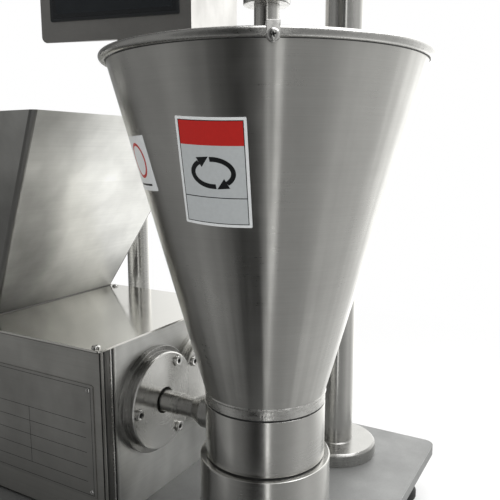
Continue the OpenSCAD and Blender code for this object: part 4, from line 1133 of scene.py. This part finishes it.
def make_cover_edges():
    """The folded side of the front cover: a lip, a channel darkened as painted shade, a raised bead whose
    bright steel is a painted highlight, and black strips of painted shade in the fold, the groove and the
    seam.
    """
    lo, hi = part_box("front_cover")
    top = low("housing_lid").z - 0.1 * MM
    for side, x, out in (("left", lo.x, -1), ("right", hi.x, 1)):
        for name, y0, y1, proud, finish in COVER_EDGE:
            bm = bmesh.new()
            box_between(bm, Vector((x - 0.3 * MM * out, lo.y + y0 * MM, lo.z)),
                        Vector((x + proud * MM * out, lo.y + y1 * MM, top)))
            bmesh.ops.bevel(bm, geom=bm.edges[:], offset=min(0.25, proud * 0.8) * MM, segments=2,
                            affect="EDGES", profile=0.5)
            piece = f"cover_{side}_{name}"
            placed_object(piece, mesh_from(bm, piece), finish)


def make_rating_lines():
    """The blank table etched on the rating plate: thin rules, with nothing written in it."""
    lo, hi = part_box("rating_plate")
    line, inset, margin = 0.5 * MM, 3.5 * MM, 13 * MM

    def flat(u, v, lift):
        return Vector((lo.x + u, lo.y - lift, lo.z + v))

    wide, tall = hi.x - lo.x, hi.z - lo.z
    rules = outline_rows(inset, inset, wide - inset, tall - inset, line)
    rows = [tall * k for k in (0.14, 0.27, 0.40, 0.53, 0.66)]
    rules += [rectangle_rows(margin, v, wide - margin, v + line) for v in rows]
    rules += [rectangle_rows(wide * 0.46, rows[0], wide * 0.46 + line, rows[-1])]
    bm = bmesh.new()
    for r in rules:
        strip_grid(bm, flat, r, 0.01 * MM, 0.06 * MM)
    placed_object("rating_rules", closed_mesh(bm, "rating_rules"), "black_ink")


# ---------------------------------------------------------------- feed hopper
def rounded_rectangle(x0, y0, x1, y1, r, steps=6):
    """Corner points of a rectangle with round corners, anticlockwise."""
    corners = ((x1 - r, y1 - r, 0), (x0 + r, y1 - r, 90), (x0 + r, y0 + r, 180), (x1 - r, y0 + r, 270))
    turns = [90 * k / steps for k in range(steps + 1)]
    return [(cx + r * math.cos(math.radians(a + t)), cy + r * math.sin(math.radians(a + t)))
            for cx, cy, a in corners for t in turns]


def make_feed_hopper():
    """Folded sheet: four sloping sides with bent corners and a welded foot."""
    lo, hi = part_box("feed_hopper")
    base_x0, base_x1, base_y0 = lo.x + 40 * MM, hi.x - 186 * MM, lo.y + 77 * MM
    bend, rows, bead, fold = 6.0 * MM, 10, 1.1 * MM, 7

    def section(t, inset):
        z = lo.z + (hi.z - lo.z) * t
        x0, x1 = base_x0 + (lo.x - base_x0) * t, base_x1 + (hi.x - base_x1) * t
        y0 = base_y0 + (lo.y - base_y0) * t
        return [(x, y, z) for x, y in rounded_rectangle(x0 + inset, y0 + inset, x1 - inset, hi.y - inset,
                                                         max(0.4 * MM, bend - inset))]

    bm = bmesh.new()
    levels = [k / rows for k in range(rows + 1)]
    rings = [[bm.verts.new(p) for p in section(t, 0)] for t in levels]
    rings += [[bm.verts.new(p) for p in section(t, SHEET)] for t in reversed(levels)]
    # The faces round each bend take the darker fold finish: painted shade along the bends.
    for i, face in enumerate(join_rings(bm, rings + rings[:1])):
        face.material_index = int(i % fold < fold - 1)
    mesh = closed_mesh(bm, "feed_shell", 28)
    mesh.materials.append(SURFACE["feed_steel"])
    mesh.materials.append(SURFACE["fold_steel"])
    placed_object("feed_shell", mesh, None, ("feed_hopper",))
    weld = bmesh.new()
    path = section(0, -0.6 * MM)
    loops = []
    for i, p in enumerate(path):
        along = (Vector(path[(i + 1) % len(path)]) - Vector(path[i - 1])).normalized()
        out = Vector((along.y, -along.x, 0))
        turns = (k * math.tau / 8 for k in range(8))
        loops.append([weld.verts.new(Vector(p) + bead * (out * math.cos(a) + Z * (0.15 + math.sin(a))))
                      for a in turns])
    join_rings(weld, loops + loops[:1])
    # The weld takes the dark painted-shade steel, which takes away its highlight.
    placed_object("feed_weld", closed_mesh(weld, "feed_weld", 60), "channel_steel")


# ---------------------------------------------------------------- base, posts and drive on top
def make_base():
    """The base plate on its four feet: ribbed rubber pads, threaded studs and nuts under the plate."""
    refined("base_plate", "plate_grey", 1.8 * MM, 3, "plate_edge")
    for i, group in enumerate(islands("foot_pads")):
        (x0, x1), (y0, y1) = span(group, X), span(group, Y)
        r, top = (x1 - x0) / 2, span(group, Z)[1]
        ribs = []
        for h in (2.2 * MM + 2.4 * MM * k for k in range(3)):
            ribs += [(r, h), (r - 0.9 * MM, h + 0.7 * MM), (r - 0.9 * MM, h + 1.5 * MM)]
        outline = [(0, 0), (r - 1 * MM, 0), *ribs, (r, 9 * MM), (r - 9 * MM, top, 3 * MM), (r - 12 * MM, top),
                   (r - 13 * MM, top - 1.2 * MM), (0, top - 1.2 * MM)]
        foot = Vector(((x0 + x1) / 2, (y0 + y1) / 2, 0))
        turned_piece(f"foot_pad_{i}", filleted(outline, 0.5 * MM, 2), foot, "rubber",
                     () if i else ("foot_pads",), steps=64)
    pitch, crest, root = 1.75 * MM, 6 * MM, 5.1 * MM
    for i, group in enumerate(islands("foot_studs")):
        z0, z1 = span(group, Z)
        mid = sum(group, Vector()) / len(group)
        mid = Vector((round(mid.x, 4), round(mid.y, 4), 0))
        turns = int((z1 - z0) / pitch)
        outline = [(0, z0)]
        for k in range(turns):
            outline += [(root, z0 + k * pitch), (crest, z0 + (k + 0.5) * pitch)]
        outline += [(root, z0 + turns * pitch), (0, z0 + turns * pitch)]
        turned_piece(f"foot_thread_{i}", outline, mid, "screw_steel",
                     () if i else ("foot_studs",), steps=40)
        nut = f"foot_nut_{i}"
        placed_object(nut, nut_mesh(nut, mid + Z * low("base_plate").z, 11 * MM, 8 * MM), "screw_steel")


def nut_mesh(name, top, r, tall):
    """A hexagon nut with chamfered corners, hanging below a point."""
    bm = bmesh.new()
    chamfer = 0.8 * MM
    rings = [[bm.verts.new(top + on_circle(r * k, i * math.tau / 6, h)) for i in range(6)]
             for h, k in ((0, 0.9), (-chamfer, 1.0), (chamfer - tall, 1.0), (-tall, 0.9))]
    join_rings(bm, rings)
    bm.faces.new(rings[0])
    bm.faces.new(rings[-1])
    return closed_mesh(bm, name)


def make_posts():
    for node, name, finish, foot_finish in (
            ("rear_post", "agitator_post", "post_steel", "flange_steel"),
            ("front_post", "screen_post", "screen_post_steel", "screen_post_steel")):
        lo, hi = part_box(node)
        r = size(node).x / 2
        outline = [(0, lo.z), (r, lo.z), (r, hi.z, 2.5 * MM), (0, hi.z)]
        turned_piece(name, filleted(outline, 0.5 * MM), foot_of(node), finish, (node,))
        flange = node + "_flange"
        foot_r, base, top = size(flange).x / 2, low(flange).z, high(flange).z
        outline = [(r, base), (foot_r, base, 0.5 * MM), (foot_r, top - 3 * MM, 0.8 * MM),
                   (foot_r - 3 * MM, top, 0.8 * MM), (r + 1.6 * MM, top, 0.6 * MM), (r, top + 1.6 * MM)]
        turned_piece(name + "_foot", filleted(outline, 0.5 * MM), foot_of(node), foot_finish,
                     (flange,), steps=160)


def make_top_drive():
    refine_all((("motor_arm", "arm_steel", 1.2, "machined_steel", 3),
                ("agitator_gearbox", "gearbox_paint", 1.5, "gearbox_paint", 3),
                ("agitator_motor", "motor_paint", 0.5, "motor_paint", 2),
                ("shaft_coupling", "screw_steel", 0.8, "machined_steel", 3)))
    lo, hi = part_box("motor_cowl")
    r, mid = size("motor_cowl").x / 2, foot_of("motor_cowl")
    outline = [(0, lo.z), (r, lo.z), (r, hi.z - 10 * MM, 9 * MM), (r - 12 * MM, hi.z, 4 * MM),
               (0, hi.z - 0.5 * MM)]
    turned_piece("fan_cowl", filleted(outline, 0.8 * MM, 6), mid, "black_plastic",
                 ("motor_cowl",), steps=96)
    dimple = [(r * MM, h * MM)
              for r, h in ((0, 0), (2.4, 0), (2.2, 0.25), (1.6, 0.25), (1.4, 0.05), (0, 0.05))]
    places = [(mid + Z * (hi.z - 0.3 * MM), Z)]
    for ring, count in ((8, 6), (16, 12), (24, 18), (31, 24)):
        places += [(mid + on_circle(ring * MM, k * math.tau / count, hi.z - 0.4 * MM), Z)
                   for k in range(count)]
    on_seats("cowl_vents", places, turned_mesh("cowl_vent", dimple, Vector(), Z, 20), "rubber")


# ---------------------------------------------------------------- screen box
def make_screen_box():
    refine_all((("screen_box", "panel_steel", 1.4, "panel_steel", 3),
                ("screen_box_back", "panel_steel", 0.5, "panel_steel", 2),
                ("swivel_socket", "screen_post_steel", 0.9, "machined_steel", 3),
                ("screen_frame", "screen_black", 0.5, "screen_black", 3),
                ("button_bezels", "screw_steel", 0.7, "machined_steel", 3),
                ("start_button", "green_plastic", 0.9, "green_plastic", 3),
                ("stop_button", "red_plastic", 0.9, "red_plastic", 3),
                ("emergency_stop", "red_plastic", 1.2, "red_plastic", 3)))


def make_screen_glass():
    """A glass pane set inside the screen's frame, with a dark printed border round the display."""
    bm = clean_faces("screen_frame")
    fronts = [f for f in bm.faces if abs(f.normal.z) < 0.1 and f.normal.y < 0]
    out = max(fronts, key=lambda f: f.calc_area()).normal.copy()
    across = Z.cross(out)
    (u0, u1), (v0, v1), (_, face) = (span([v.co for v in bm.verts], axis) for axis in (across, Z, out))
    bm.free()

    def flat(u, v, lift):
        return across * u + Z * v + out * (face + lift)

    for name, inset, lift, thick, finish in (("screen_pane", 5 * MM, 0.0, 0.4 * MM, "screen_glass"),
                                             ("screen_display", 11 * MM, 0.42 * MM, 0.05 * MM, "display")):
        pane = bmesh.new()
        rows = rectangle_rows(u0 + inset, v0 + inset, u1 - inset, v1 - inset, 1.5 * MM, 8)
        strip_grid(pane, flat, rows, lift, thick)
        placed_object(name, closed_mesh(pane, name), finish, body="screen")


def make_screws():
    """Real heads on the CAD screws, each turned its own way, with a dark bottom in each recess."""
    for node, head_height, head, heads, shadow, shadows in (
            ("cap_screws", CAP_HEAD, cap_screw_mesh(), "socket_screws",
             socket_shadow_mesh(), "socket_shadows"),
            ("pan_screws", PAN_HEAD, pan_screw_mesh(), "cross_screws",
             cross_shadow_mesh(), "cross_shadows")):
        places = seats(node, head_height)
        on_seats(heads, places, head, "screw_steel", (node,), math.tau)
        on_seats(shadows, places, shadow, "seal_rubber", (), math.tau)
    on_seats("plate_rivets", seats("rating_plate_rivets", 2 * MM), rivet_mesh(), "screw_steel",
             ("rating_plate_rivets",))
    refined("post_bolts", "screw_steel", 0.5 * MM)


make_finishes()
SEAT_TREE = seat_tree("parts_on_seats")
bpy.context.scene.view_settings.view_transform = "Standard"
make_camera()
make_studio()
make_floor()
softbox("overhead_box", (0.5, 0.3, 2.0), 0.2, 1.6, 26)
softbox("side_box", (2.0, 0.4, 1.1), 0.3, 1.2, 14, False)
for make in (make_hopper, make_pump, make_filling_pipe, make_agitator, make_labels, make_drive_box,
             make_rating_lines, make_cover_edges, make_feed_hopper, make_base, make_posts, make_top_drive,
             make_screen_box, make_screen_glass, make_screws):
    make()
